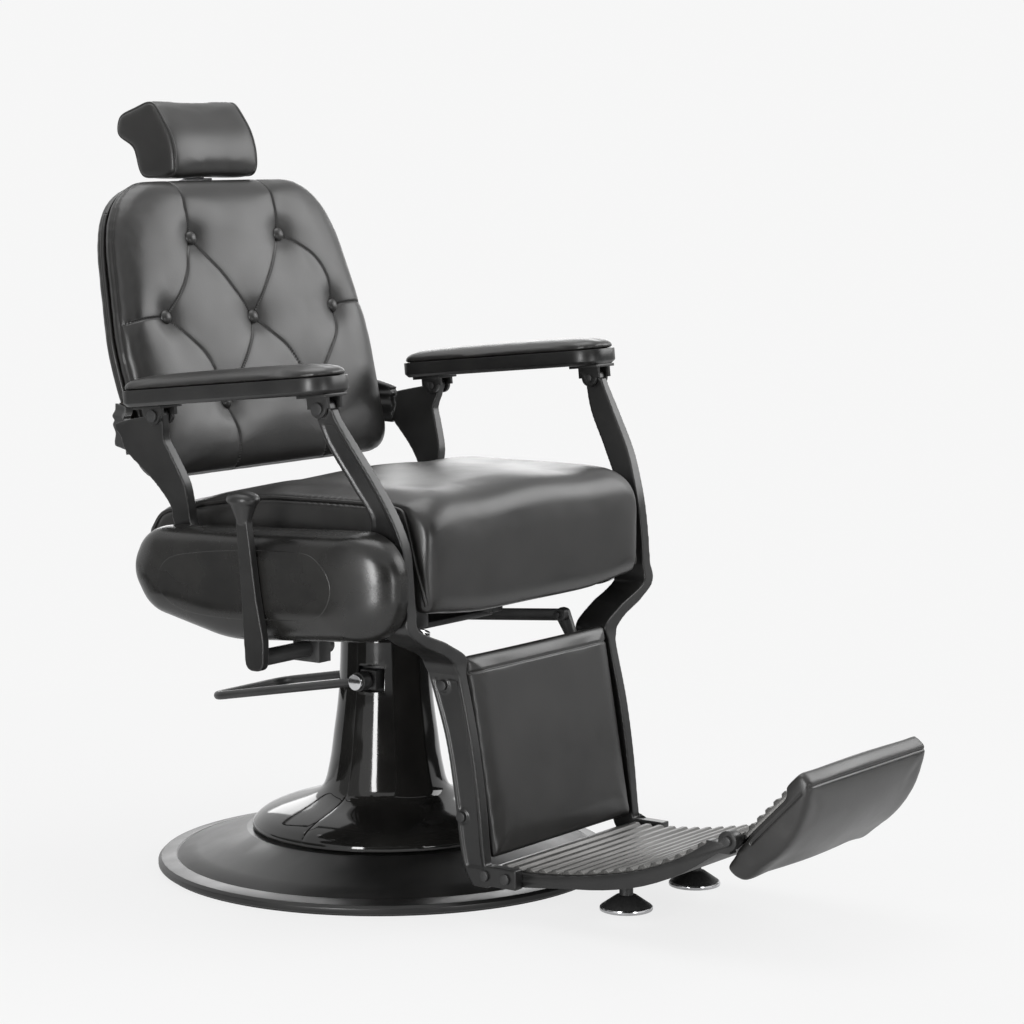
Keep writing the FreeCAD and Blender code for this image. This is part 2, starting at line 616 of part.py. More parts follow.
def make_footrest():
    half = size("foot_half")
    outline = [(y, z, 0) for y, z in smooth(FOOT_LOW)] + [(y, z, 0) for y, z in smooth(FOOT_TOP)]
    plate_face = Part.Face(wire_in("yz", -half - 2, outline))
    shape = plate_face.extrude(Vector(2 * half + 4, 0, 0))
    for s in (-1, 1):
        start = Vector(s * (half - 5.5) - 7.5, size("flip_y"), size("flip_z"))
        knuckle = Part.makeCylinder(13, 15, start, Vector(1, 0, 0))
        neck = Part.makeBox(15, 34, 14, Vector(s * (half - 5.5) - 7.5, -664, 132))
        shape = shape.fuse([knuckle, neck])
    rod_hole = Part.makeCylinder(6, 500, Vector(-250, size("flip_y"), size("flip_z")), Vector(1, 0, 0))
    holes = [rod_hole]
    for y, z in FRAME_BOLTS[2:]:
        for s in (-1, 1):
            holes.append(Part.makeCylinder(4, 30, Vector(s * half - 15, y, z), Vector(1, 0, 0)))
    node("foot_plate", feature("FootPlate", shape.cut(holes).removeSplitter()))
    path = smooth(FOOT_TOP[::-1])[1:-1]
    strip = ribbed(path, 19.0, 4.0, 2.0)
    tread = Part.Face(wire_in("yz", -half + 8, strip)).extrude(Vector(2 * half - 16, 0, 0))
    node("foot_tread", feature("FootTread", tread))
    start = ("-Sizes.foot_half - 5", "Sizes.flip_y", "Sizes.flip_z")
    node("flip_hinge_rod", cylinder("FlipRod", 6, "2 * Sizes.foot_half + 10", start, "x"))
    cones = []
    rings = []
    for s in (-1, 1):
        spot = (s * size("cone_x"), size("cone_y"))
        stem = cylinder("ConeStem%d" % s, 9, 24, (spot[0], spot[1], 34.5))
        skirt = cone("ConeSkirt%d" % s, "Sizes.cone_r", 13, 14, (spot[0], spot[1], 21))
        whole = fuse("Cone%d" % s, [stem, skirt])
        cones.append(whole)
        rings.append(cylinder("ConeRing%d" % s, "Sizes.cone_r + 1.5", 6, (spot[0], spot[1], 15)))
    stems = compound("ConePair", cones)
    node("foot_cones", cut("FootCones", stems, nodes["foot_plate"]))
    node("foot_rings", compound("FootRings", rings))


# Flip pad, drawn lying forward of its hinge and then tilted up
def make_flip():
    half = size("flip_half")
    base = Placement(Vector(0, size("flip_y"), size("flip_z")), TURN_FLIP)
    leaf = Part.makeBox(2 * half - 24, 108, 4, Vector(-half + 12, -98, -8))
    barrel = Part.makeCylinder(10, 2 * half - 12, Vector(-half + 6, 0, 0), Vector(1, 0, 0))
    neck = Part.makeBox(2 * half - 24, 14, 8, Vector(-half + 12, -14, -8))
    leaf = leaf.fuse([barrel, neck])
    leaf = leaf.cut(Part.makeCylinder(6.05, 500, Vector(-250, 0, 0), Vector(1, 0, 0)))
    strip = ribbed([(-96, -4), (-14, -4)], 14.0, 3.5, 2.0)
    strip = [(y, -8 - z, 0) for y, z, r in strip]
    tread = Part.Face(wire_in("yz", -half + 14, strip)).extrude(Vector(2 * half - 28, 0, 0))
    node("flip_plate", feature("FlipPlate", leaf.fuse(tread).removeSplitter(), base))

    def section(x, draw):
        return wire_in("yz", x, [
            (-133 + draw, 3 - draw, 5), (-134 + draw, -22, 6), (-70, -58 + draw, 150),
            (36 - draw, -48 + draw, 18), (38 - draw, -16, 6), (13, -15, 2), (12, -11, 1), (-15, -11, 1),
            (-17, -8.3, 1), (-98.5, -8.3, 1), (-98.5, 3 - draw, 3)])

    rows = [(1.0, 5.0), (0.985, 1.5), (0.93, 0.0), (0.5, 0.0)]
    wires = [section(-half * k, d) for k, d in rows] + [section(half * k, d) for k, d in rows[::-1]]
    node("flip_cushion", feature("FlipCushion", loft(wires), base))


def make_arms():
    length = size("arm_len")
    wide = size("arm_w")
    tray_t = size("arm_tray_t")
    plan = [(-wide / 2, -length / 2, 34), (wide / 2, -length / 2, 34), (wide / 2 - 5, length / 2, 20),
            (-wide / 2 + 5, length / 2, 20)]
    for side, s in SIDES:
        base = Placement(Vector(s * size("arm_x"), size("arm_mid_y"), size("arm_mid_z")), TURN_ARM)
        tray = loft([wire_in("xy", z, grown(plan, -k)) for z, k in ((0, 5), (5, 0), (tray_t, 0))], True)
        node("arm_tray_" + side, feature("ArmTray" + side, tray, base))
        rows = ((0, 3.5), (5, 1.0), (9, 3.0), (13, 9.0), (15.5, 18.0), (16.5, 28.0))
        pad = loft([wire_in("xy", tray_t + z, grown(plan, -k, 1.0)) for z, k in rows])
        node("arm_pad_" + side, feature("ArmPad" + side, pad, base))
        undo = base.inverse()
        pins = []
        brackets = []
        for spot in (ARM_FRONT, ARM_REAR):
            at = undo.multVec(Vector(s * size("arm_x"), spot[0], spot[1]))
            top = Part.makeBox(44, 48, 4, Vector(-22, at.y - 20, -4))
            ears = [Part.makeBox(5, 34, -at.z - 2, Vector(x, at.y - 17, at.z)) for x in (-15.5, 10.5)]
            ears += [Part.makeCylinder(12, 5, Vector(x, at.y, at.z), Vector(1, 0, 0))
                     for x in (-15.5, 10.5)]
            bracket = top.fuse(ears)
            hole = Part.makeCylinder(size("pin_r"), 80, Vector(-40, at.y, at.z), Vector(1, 0, 0))
            bracket = bracket.cut(hole)
            brackets.append(bracket.removeSplitter())
            pin = Part.makeCylinder(size("pin_r"), 33, Vector(-16.5, at.y, at.z), Vector(1, 0, 0))
            head = Part.makeCylinder(8, 3, Vector(15.5 if s > 0 else -18.5, at.y, at.z), Vector(1, 0, 0))
            pins.append(pin.fuse(head))
        node("arm_brackets_" + side, feature("ArmBrackets" + side, Part.makeCompound(brackets), base))
        node("arm_pins_" + side, feature("ArmPins" + side, Part.makeCompound(pins), base))


def make_link():
    d = Vector(0, LINK_REAR[0] - LINK_FRONT[0], LINK_REAR[1] - LINK_FRONT[1])
    length = d.Length
    h = size("link_h")
    outline = [(-13, -h / 2, 5), (length + 13, -h / 2, 5), (length + 13, h / 2, 5), (-13, h / 2, 5)]
    holes = [(0, 0, size("pin_r") + size("run_gap")), (length, 0, size("pin_r") + size("open_gap"))]
    bar = plate("LinkBar", "yz", outline, "Sizes.link_x - Sizes.link_t / 2", "Sizes.link_t", holes)
    angle = math.degrees(math.atan2(d.z, d.y))
    bar.Placement = Placement(Vector(0, LINK_FRONT[0], LINK_FRONT[1]), Rotation(Vector(1, 0, 0), angle))
    node("link_bar", bar)


BACK_ARM = [(404, 60, 92, 270, 16), (430, 58, 98, 270, 16), (456, 76, 112, 270, 16),
            (494, 107, 139, 270, 16), (518, 110, 143, 273, 16), (550, 112, 166, 280, 16),
            (587, 126, 205, 289, 16), (607, 134, 211, 294, 15), (625, 131, 215, 299, 14),
            (640, 129, 150, 303, 14)]

# Back outline in its own plane: bottom corners, then the broad rounded shoulders
BACK = [(-252, -14, 40), (252, -14, 40), (264, 170, 300), (240, 318, 160), (204, 402, 98),
        (-204, 402, 98), (-240, 318, 160), (-264, 170, 300)]
BUTTONS = [(-94, 314), (94, 314), (-180, 205), (0, 197), (180, 205), (-95, 81), (95, 81)]


def make_back():
    base = Placement(Vector(0, size("back_y"), size("back_z")), TURN_BACK)
    tube = Part.makeCylinder(size("tube_r"), 556, Vector(-278, *REAR), Vector(1, 0, 0))
    lug_outline = [(REAR[0] - 13, REAR[1], 2), (REAR[0] + 13, REAR[1], 2),
                   (LINK_REAR[0] + 10, LINK_REAR[1] - 9, 8), (LINK_REAR[0] - 10, LINK_REAR[1] - 9, 8)]
    lug = Part.Face(wire_in("yz", size("link_x") + 6, lug_outline)).extrude(Vector(7, 0, 0))
    pin = Part.makeCylinder(size("pin_r"), 20, Vector(size("link_x") - 7, *LINK_REAR), Vector(1, 0, 0))
    node("back_tube", feature("BackTube", tube.fuse([lug, pin]).removeSplitter()))
    for side, s in SIDES:
        stem = loft([station(s, row) for row in BACK_ARM], True)
        ring = Part.makeCylinder(26, 16, Vector(s * 270 - 8, *REAR), Vector(1, 0, 0))
        eye = Part.makeCylinder(9, 16, Vector(s * size("arm_x") - 8, *ARM_REAR), Vector(1, 0, 0))
        rows = ((205, 289, 16, 582, 634), (226, 269, 14, 586, 645), (250, 266, 8, 590, 648))
        wing = loft([wire_in("xz", y, [(s * x - t / 2, low, 0), (s * x + t / 2, low, 0),
                                       (s * x + t / 2, high, 0), (s * x - t / 2, high, 0)])
                     for y, x, t, low, high in rows], True)
        shape = stem.fuse([ring, eye, wing])
        tube_hole = Part.makeCylinder(size("tube_r"), 100, Vector(s * 270 - 50, *REAR), Vector(1, 0, 0))
        pin_hole = Part.makeCylinder(size("pin_r") + size("open_gap"), 60,
                                     Vector(s * size("arm_x") - 30, *ARM_REAR), Vector(1, 0, 0))
        shape = shape.cut([tube_hole, pin_hole])
        node("back_arm_" + side, feature("BackArm" + side, shape.removeSplitter()))

    def levels(rows):
        return [wire_in("xz", y, grown(BACK, -k)) for y, k in rows]

    crown = ((24, 5), (14, 0.5), (0, 1.5), (-8, 7), (-14, 20), (-17.5, 48), (-18.5, 80))
    cushion = loft(levels(crown))
    for x, v in BUTTONS:
        cushion = cushion.cut(Part.makeCone(3, 26, 25, Vector(x, 4, v), Vector(0, -1, 0)))
    node("back_cushion", feature("BackCushion", cushion, base))
    rim = Part.Face(wire_in("xz", 24.3, grown(BACK, -3))).extrude(Vector(0, 9.7, 0))
    shell = rim.fuse(loft(levels(((34, 3), (38, 4), (46, 15), (54, 28), (62, 43), (68, 64)))))
    rooms = [Part.makeBox(60, 18, 262, Vector(-30, 34, 150)),
             Part.Face(wire_in("xz", 24, grown(BACK, -13.7))).extrude(Vector(0, 10.3, 0)),
             Part.makeBox(524.6, 10.3, 60.6, Vector(-262.3, 24, 39.7))]
    node("back_shell", feature("BackShell", shell.cut(rooms), base))
    board = Part.Face(wire_in("xz", 24, grown(BACK, -14))).extrude(Vector(0, size("back_board_t"), 0))
    tabs = Part.makeBox(524.0, size("back_board_t"), 60, Vector(-262.0, 24, 40))
    node("back_board", feature("BackBoard", board.fuse(tabs).removeSplitter(), base))
    dots = []
    for x, v in BUTTONS:
        front = Part.makeBox(30, 12, 30, Vector(x - 15, -8, v - 15))
        dome = Part.makeSphere(10, Vector(x, 7, v)).common(front)
        dots.append(dome.fuse(Part.makeCylinder(2.5, 21, Vector(x, 3, v), Vector(0, 1, 0))))
    node("back_buttons", feature("BackButtons", Part.makeCompound(dots), base))
    nodes["back_cushion"].Shape = cushion.cut(dots)
    nodes["back_cushion"].Placement = base
    guide = Part.makeBox(58, 17, 258, Vector(-29, 34, 152))
    slot = Part.makeBox(size("head_bar_w") + 1.0, size("head_bar_t") + 1.0, 400,
                        Vector(-size("head_bar_w") / 2 - 0.5, 40 - 0.5, 140))
    node("headrest_guide", feature("HeadrestGuide", guide.cut(slot), base))


HEAD = [(341, 1058, 16), (299, 1001, 100), (296, 947, 16), (364, 946, 12), (375, 990, 8), (410, 1006, 10),
        (406, 1034, 14)]


def make_headrest():
    base = Placement(Vector(0, size("back_y"), size("back_z")), TURN_BACK)
    start = Vector(-size("head_bar_w") / 2, 40, 170)
    bar = Part.makeBox(size("head_bar_w"), size("head_bar_t"), 290, start)
    node("headrest_bar", feature("HeadrestBar", bar, base))
    rows = ((92, 7), (90, 2), (83, 0), (38, 0))
    wires = [wire_in("yz", -x, grown(HEAD, -k)) for x, k in rows]
    wires += [wire_in("yz", x, grown(HEAD, -k)) for x, k in rows[::-1]]
    shape = loft(wires)
    room = nodes["headrest_bar"].Shape
    node("headrest_cushion", feature("HeadrestCushion", shape.cut(room)))


make_base()
make_pump()
make_pedal()
make_seat_frame()
make_seat_cushion()
make_covers()
doc.recompute()
make_lever()
make_front_frame()
make_frame_bolts()
make_legrest()
make_footrest()
make_flip()
make_arms()
make_link()
make_back()
doc.recompute()
make_headrest()
doc.recompute()

# Check every object and write one file per node
os.makedirs("parts", exist_ok=True)
for obj in doc.Objects:
    if "Invalid" in obj.State or "Error" in obj.State:
        raise RuntimeError("object failed: %s" % obj.Label)
bad = [label for label, obj in nodes.items()
       if obj.Shape.isNull() or not obj.Shape.isValid() or obj.Shape.Volume <= 0]
if bad:
    raise RuntimeError("bad shapes: %s" % ", ".join(bad))
for label, obj in nodes.items():
    shape = obj.Shape
    shape.exportStep("parts/%s.step" % label)
    print("%-24s solids %d volume %.1f cm3" % (label, len(shape.Solids), shape.Volume / 1000.0))
print("nodes", len(nodes))
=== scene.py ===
# %% [markdown]
# # A barber chair in black leather and cast iron
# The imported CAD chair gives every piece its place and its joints. This lesson dresses it:
# soft cushions with tufts and piping, castings with rounded edges, gloss covers and chrome.
# Each new piece is made in the chair's own frame, so nothing has to be fitted afterwards.

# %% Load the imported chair
import json
import math

import bpy
import numpy as np
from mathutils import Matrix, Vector
from mathutils.bvhtree import BVHTree

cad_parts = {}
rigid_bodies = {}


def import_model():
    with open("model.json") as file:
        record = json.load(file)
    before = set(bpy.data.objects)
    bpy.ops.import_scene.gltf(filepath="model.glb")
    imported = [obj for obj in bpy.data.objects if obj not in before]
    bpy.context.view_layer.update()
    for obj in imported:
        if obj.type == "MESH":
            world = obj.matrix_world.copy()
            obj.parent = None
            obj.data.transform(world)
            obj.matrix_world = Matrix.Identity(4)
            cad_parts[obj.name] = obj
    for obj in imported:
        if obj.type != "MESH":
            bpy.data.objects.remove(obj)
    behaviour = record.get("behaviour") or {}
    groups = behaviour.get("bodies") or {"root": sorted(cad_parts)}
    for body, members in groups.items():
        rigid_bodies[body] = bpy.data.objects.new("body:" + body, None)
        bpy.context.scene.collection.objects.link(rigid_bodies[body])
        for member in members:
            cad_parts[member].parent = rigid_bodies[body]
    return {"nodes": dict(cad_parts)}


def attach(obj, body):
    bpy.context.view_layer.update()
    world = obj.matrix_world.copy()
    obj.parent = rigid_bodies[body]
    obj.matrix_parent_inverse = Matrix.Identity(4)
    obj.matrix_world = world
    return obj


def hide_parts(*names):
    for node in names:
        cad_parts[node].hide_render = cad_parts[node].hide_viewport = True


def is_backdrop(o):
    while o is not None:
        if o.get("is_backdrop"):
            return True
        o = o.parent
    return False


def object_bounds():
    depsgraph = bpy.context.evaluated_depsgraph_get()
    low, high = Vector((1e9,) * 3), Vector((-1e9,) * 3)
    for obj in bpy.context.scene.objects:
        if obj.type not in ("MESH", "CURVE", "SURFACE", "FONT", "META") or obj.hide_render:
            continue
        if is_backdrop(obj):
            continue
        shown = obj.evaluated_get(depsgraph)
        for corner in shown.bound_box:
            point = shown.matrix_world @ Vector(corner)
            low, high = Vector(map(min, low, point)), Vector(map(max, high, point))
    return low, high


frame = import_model()
nodes = frame["nodes"]
scene = bpy.context.scene
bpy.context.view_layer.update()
MM = 0.001

# %% [markdown]
# ## Camera
# The camera stands at the front of the chair, on the side of the lever, about seat height
# and a little above it. A long lens keeps the chair's upright lines nearly parallel.

# %% Camera
CAMERA_PLACE = (-3.33871, -2.62299, 1.01579)  # metres
CAMERA_TURN = (82.9473, 0.0, -54.2125)  # degrees
LENS, SENSOR = 108.98, 36.0  # millimetres
bpy.ops.object.select_all(action="DESELECT")
bpy.ops.object.camera_add(location=CAMERA_PLACE, rotation=[math.radians(turn) for turn in CAMERA_TURN])
camera = bpy.context.object
camera.data.sensor_width = SENSOR
camera.data.lens = LENS
scene.camera = camera
print("camera", camera.data.lens, "mm lens")

# %% [markdown]
# ## Studio
# A black chair shows its shape by what it reflects, so the studio matters as much as the
# paint. A pale world surrounds it, soft boxes make the long highlights, and the floor glows
# a little for the camera so that it stays pale and still takes the chair's soft shadow.

# %% World and floor
PALE = (0.925, 0.925, 0.925, 1.0)  # the studio as the camera and the mirrors see it
FILL = 0.35  # the world's strength as light
FLOOR_RADIUS = 40.0
FLOOR_MIRRORED = 0.38  # share of the pale floor that glossy paint mirrors
FLOOR_FADE = {"From Min": 0.45, "From Max": 1.5, "To Min": 0.86, "To Max": 1.0}  # metres, share of the glow

scene.view_settings.view_transform = "Standard"
world = bpy.data.worlds.new("pale_studio")
scene.world = world
world.use_nodes = True
room = world.node_tree
fill_light = room.nodes["Background"]
fill_light.inputs["Color"].default_value = (0.98, 0.99, 1.0, 1.0)
fill_light.inputs["Strength"].default_value = FILL
seen_pale = room.nodes.new("ShaderNodeBackground")
seen_pale.inputs["Color"].default_value = PALE
seen_pale.inputs["Strength"].default_value = 1.0


def pale_rays(tree, mirrored=1.0):
    """1 for camera rays, and mirrored for glossy and transmission rays."""
    path = tree.nodes.new("ShaderNodeLightPath")
    both = tree.nodes.new("ShaderNodeMath")
    both.operation = "ADD"
    tree.links.new(path.outputs["Is Glossy Ray"], both.inputs[0])
    tree.links.new(path.outputs["Is Transmission Ray"], both.inputs[1])
    total = tree.nodes.new("ShaderNodeMath")
    total.operation = "MULTIPLY_ADD"
    total.use_clamp = True
    total.inputs[1].default_value = mirrored
    tree.links.new(both.outputs[0], total.inputs[0])
    tree.links.new(path.outputs["Is Camera Ray"], total.inputs[2])
    return total.outputs[0]


mix = room.nodes.new("ShaderNodeMixShader")
room.links.new(pale_rays(room), mix.inputs[0])
room.links.new(fill_light.outputs[0], mix.inputs[1])
room.links.new(seen_pale.outputs[0], mix.inputs[2])
room.links.new(mix.outputs[0], room.nodes["World Output"].inputs["Surface"])

bpy.ops.mesh.primitive_circle_add(vertices=96, radius=FLOOR_RADIUS, fill_type="NGON",
                                  location=(0, 0, -0.4 * MM))
floor = bpy.context.object
floor.name = "floor"
paper = bpy.data.materials.new("floor_paper")
paper.use_nodes = True
tree = paper.node_tree
matt = tree.nodes["Principled BSDF"]
matt.inputs["Base Color"].default_value = (0.86, 0.86, 0.86, 1.0)
matt.inputs["Roughness"].default_value = 0.9
matt.inputs["Specular IOR Level"].default_value = 0.1
glow = tree.nodes.new("ShaderNodeEmission")
glow.inputs["Color"].default_value = PALE
far = tree.nodes.new("ShaderNodeTexCoord")
reach = tree.nodes.new("ShaderNodeVectorMath")
reach.operation = "LENGTH"
fade = tree.nodes.new("ShaderNodeMapRange")
for socket, value in FLOOR_FADE.items():
    fade.inputs[socket].default_value = value
tree.links.new(far.outputs["Object"], reach.inputs[0])
tree.links.new(reach.outputs["Value"], fade.inputs["Value"])
share = tree.nodes.new("ShaderNodeMath")
share.operation = "MULTIPLY"
tree.links.new(pale_rays(tree, FLOOR_MIRRORED), share.inputs[0])
tree.links.new(fade.outputs["Result"], share.inputs[1])
floor_mix = tree.nodes.new("ShaderNodeMixShader")
tree.links.new(share.outputs[0], floor_mix.inputs[0])
tree.links.new(matt.outputs[0], floor_mix.inputs[1])
tree.links.new(glow.outputs[0], floor_mix.inputs[2])
tree.links.new(floor_mix.outputs[0], tree.nodes["Material Output"].inputs["Surface"])
floor.data.materials.append(paper)
floor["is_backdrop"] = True

# %% Lamps
SOFT_BOXES = {  # place, point aimed at, width, height, watts
    "right_box": ((2.4, -1.75, 1.82), (0, 0, 0.75), 2.4, 1.6, 45),
    "front_strip": ((-0.75, -2.5, 0.5), (-0.3, -0.2, 0.45), 0.5, 0.8, 9),
    "left_strip": ((-2.5, -0.65, 0.72), (-0.3, -0.2, 0.45), 0.42, 1.3, 38),
    "top_box": ((0.2, 0.3, 3.0), (0, 0, 0.4), 2.2, 2.2, 42),
    "rear_box": ((2.6, 2.0, 1.35), (0, -0.1, 0.6), 2.2, 1.0, 20),
}
for name, (place, aim, width, height, watts) in SOFT_BOXES.items():
    bpy.ops.object.light_add(type="AREA", location=place)
    lamp = bpy.context.object
    lamp.name = name
    lamp.rotation_euler = (Vector(aim) - Vector(place)).to_track_quat("-Z", "Y").to_euler()
    lamp.data.shape = "RECTANGLE"
    lamp.data.size, lamp.data.size_y, lamp.data.energy = width, height, watts
    lamp.visible_camera = False
print("lamps", list(SOFT_BOXES))

# %% Black cards
CARDS = {  # middle, width, height and grey of cards that are seen in reflections only
    "camera_card": ((-3.6, -2.9, 1.2), 5.2, 3.2, 0.02),
    "front_card": ((0.35, -3.1, 1.75), 2.2, 1.7, 0.02),
    "low_right_card": ((1.25, -1.0, 0.08), 1.9, 0.16, 0.05),
    "low_left_card": ((-0.95, 0.85, 0.12), 1.5, 0.24, 0.05),
    "mid_right_card": ((1.75, -1.45, 0.80), 2.2, 0.32, 0.02),
    "left_card": ((-2.6, 2.1, 1.7), 2.8, 3.4, 0.4),
}
for name, (place, width, height, grey) in CARDS.items():
    bpy.ops.mesh.primitive_plane_add(size=1.0, location=place)
    card = bpy.context.object
    card.name = name
    card.scale = (width, height, 1.0)
    card.rotation_euler = (math.radians(90), 0.0, math.atan2(place[1], place[0]) + math.radians(90))
    card.visible_camera = card.visible_shadow = card.visible_diffuse = False
    felt = bpy.data.materials.new(name + "_felt")
    felt.use_nodes = True
    tone = felt.node_tree.nodes.new("ShaderNodeEmission")
    tone.inputs["Color"].default_value = (grey, grey, grey, 1.0)
    felt.node_tree.links.new(tone.outputs[0], felt.node_tree.nodes["Material Output"].inputs["Surface"])
    card.data.materials.append(felt)
    card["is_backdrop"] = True
print("cards", len(CARDS))

# %% [markdown]
# ## Finishes
# Each finish is a Principled shader with its own relief: the leather's pebbled grain, the
# faint orange peel of sprayed paint, the rolled lines of steel. The textures read Object
# coordinates in metres, so a scale of 700 gives cells a little over a millimetre across.


# %% Texture helpers
def finish(name, colour, roughness, **more):
    """A new material with its node tree and its shader."""
    material = bpy.data.materials.new(name)
    material.use_nodes = True
    shader = material.node_tree.nodes["Principled BSDF"]
    shader.inputs["Base Color"].default_value = (*colour, 1.0)
    shader.inputs["Roughness"].default_value = roughness
    for socket, value in more.items():
        shader.inputs[socket.replace("_", " ")].default_value = value
    return material, material.node_tree, shader


def texture(tree, kind, scale, stretch=(1, 1, 1), **settings):
    """The first output of a texture on Object coordinates."""
    place = tree.nodes.new("ShaderNodeTexCoord")
    mapping = tree.nodes.new("ShaderNodeMapping")
    mapping.inputs["Scale"].default_value = stretch
    node = tree.nodes.new(kind)
    node.inputs["Scale"].default_value = scale
    for key, value in settings.items():
        if key in node.inputs:
            node.inputs[key].default_value = value
        else:
            setattr(node, key, value)
    tree.links.new(place.outputs["Object"], mapping.inputs["Vector"])
    tree.links.new(mapping.outputs["Vector"], node.inputs["Vector"])
    return node.outputs[0]


def shades(tree, shader, source, dark, light):
    """Lets the colour go from dark to light with a texture."""
    blend = tree.nodes.new("ShaderNodeValToRGB")
    for element, position, colour in zip(blend.color_ramp.elements, (0.3, 0.7), (dark, light)):
        element.position = position
        element.color = (*colour, 1.0)
    tree.links.new(source, blend.inputs["Fac"])
    tree.links.new(blend.outputs["Color"], shader.inputs["Base Color"])


def rough_between(tree, shader, source, low, high):
    """Lets the roughness go from low to high with a texture."""
    spread = tree.nodes.new("ShaderNodeMapRange")
    for socket, value in (("From Min", 0.25), ("From Max", 0.75), ("To Min", low), ("To Max", high)):
        spread.inputs[socket].default_value = value
    tree.links.new(source, spread.inputs["Value"])
    tree.links.new(spread.outputs["Result"], shader.inputs["Roughness"])


def relief(tree, shader, *layers):
    """Bump layers, each (height source, strength, distance in mm)."""
    last = None
    for source, strength, distance in layers:
        bump = tree.nodes.new("ShaderNodeBump")
        bump.inputs["Strength"].default_value = strength
        bump.inputs["Distance"].default_value = distance * MM
        tree.links.new(source, bump.inputs["Height"])
        if last is not None:
            tree.links.new(last, bump.inputs["Normal"])
        last = bump.outputs["Normal"]
    tree.links.new(last, shader.inputs["Normal"])


# %% Leather
leather, tree, shader = finish("charcoal_leather", (0.022, 0.021, 0.02), 0.4, Specular_IOR_Level=0.55)
pebbles = texture(tree, "ShaderNodeTexVoronoi", 620, feature="SMOOTH_F1", Smoothness=0.35)
creases = texture(tree, "ShaderNodeTexNoise", 260, Detail=4.0, Roughness=0.6)
patches = texture(tree, "ShaderNodeTexNoise", 14, Detail=3.0, Roughness=0.55)
shades(tree, shader, patches, (0.011, 0.0106, 0.0102), (0.019, 0.0183, 0.0175))
rough_between(tree, shader, patches, 0.31, 0.41)
relief(tree, shader, (pebbles, 0.16, 0.35), (creases, 0.14, 0.25))

# %% Paints and covers
cast_black, tree, shader = finish("satin_black_casting", (0.02, 0.02, 0.0205), 0.36, Specular_IOR_Level=0.5)
peel = texture(tree, "ShaderNodeTexNoise", 210, Detail=2.0)
clouds = texture(tree, "ShaderNodeTexNoise", 16, Detail=4.0)
shades(tree, shader, clouds, (0.009, 0.009, 0.009), (0.016, 0.0157, 0.0153))
rough_between(tree, shader, clouds, 0.28, 0.4)
relief(tree, shader, (peel, 0.10, 0.25))


def moulded(name, low, high):
    """Black moulded plastic; low and high bound its roughness."""
    material, tree, shader = finish(name, (0.012, 0.0118, 0.0115), low)
    haze = texture(tree, "ShaderNodeTexNoise", 22, Detail=5.0)
    shades(tree, shader, haze, (0.008, 0.0078, 0.0075), (0.015, 0.0145, 0.0135))
    rough_between(tree, shader, haze, low, high)
    relief(tree, shader, (texture(tree, "ShaderNodeTexNoise", 90, Detail=1.0), 0.015, 0.3))
    return material


gloss_cover = moulded("gloss_black_cover", 0.06, 0.10)
satin_cover = moulded("satin_black_cover", 0.24, 0.30)

black_steel, tree, shader = finish("painted_steel", (0.022, 0.022, 0.022), 0.42)
grit = texture(tree, "ShaderNodeTexNoise", 420, Detail=3.0)
shades(tree, shader, texture(tree, "ShaderNodeTexNoise", 25, Detail=4.0), (0.017,) * 3, (0.03,) * 3)
rough_between(tree, shader, grit, 0.36, 0.5)
relief(tree, shader, (grit, 0.12, 0.2))

plastic, tree, shader = finish("black_plastic", (0.018, 0.018, 0.018), 0.5)
spark = texture(tree, "ShaderNodeTexVoronoi", 900, feature="F1")
shades(tree, shader, spark, (0.014,) * 3, (0.024,) * 3)
relief(tree, shader, (spark, 0.12, 0.15))

rubber, tree, shader = finish("floor_rubber", (0.02, 0.02, 0.02), 0.8)
dust = texture(tree, "ShaderNodeTexNoise", 180, Detail=6.0)
shades(tree, shader, dust, (0.014,) * 3, (0.032,) * 3)
relief(tree, shader, (dust, 0.25, 0.3))

# %% Metals
chrome, tree, shader = finish("polished_chrome", (0.62, 0.62, 0.63), 0.1, Metallic=1.0)
smudge = texture(tree, "ShaderNodeTexNoise", 60, Detail=4.0)
shades(tree, shader, smudge, (0.56, 0.56, 0.57), (0.68, 0.68, 0.69))
rough_between(tree, shader, smudge, 0.07, 0.16)

steel, tree, shader = finish("brushed_steel", (0.5, 0.5, 0.51), 0.34, Metallic=1.0)
lines = texture(tree, "ShaderNodeTexNoise", 900, stretch=(1, 1, 0.04), Detail=3.0)
shades(tree, shader, lines, (0.42, 0.42, 0.43), (0.58, 0.58, 0.59))
rough_between(tree, shader, lines, 0.28, 0.42)
relief(tree, shader, (lines, 0.1, 0.1))

tread, tree, shader = finish("dark_aluminium", (0.19, 0.188, 0.184), 0.4, Metallic=0.85)
rolled = texture(tree, "ShaderNodeTexNoise", 700, stretch=(0.03, 1, 1), Detail=3.0)
shades(tree, shader, rolled, (0.09, 0.089, 0.086), (0.18, 0.177, 0.172))
rough_between(tree, shader, rolled, 0.34, 0.48)
relief(tree, shader, (rolled, 0.12, 0.12))

bronze, tree, shader = finish("machined_bronze", (0.45, 0.32, 0.15), 0.35, Metallic=1.0)
turned = texture(tree, "ShaderNodeTexNoise", 700, stretch=(0.05, 0.05, 1), Detail=2.0)
shades(tree, shader, turned, (0.38, 0.27, 0.12), (0.52, 0.38, 0.18))
rough_between(tree, shader, turned, 0.28, 0.42)

ply, tree, shader = finish("stained_ply", (0.05, 0.04, 0.03), 0.6)
grain = texture(tree, "ShaderNodeTexNoise", 60, stretch=(0.15, 2.0, 2.0), Detail=6.0)
shades(tree, shader, grain, (0.03, 0.024, 0.02), (0.06, 0.05, 0.042))
rough_between(tree, shader, grain, 0.52, 0.68)
relief(tree, shader, (grain, 0.15, 0.2))
print("finishes", len(bpy.data.materials))

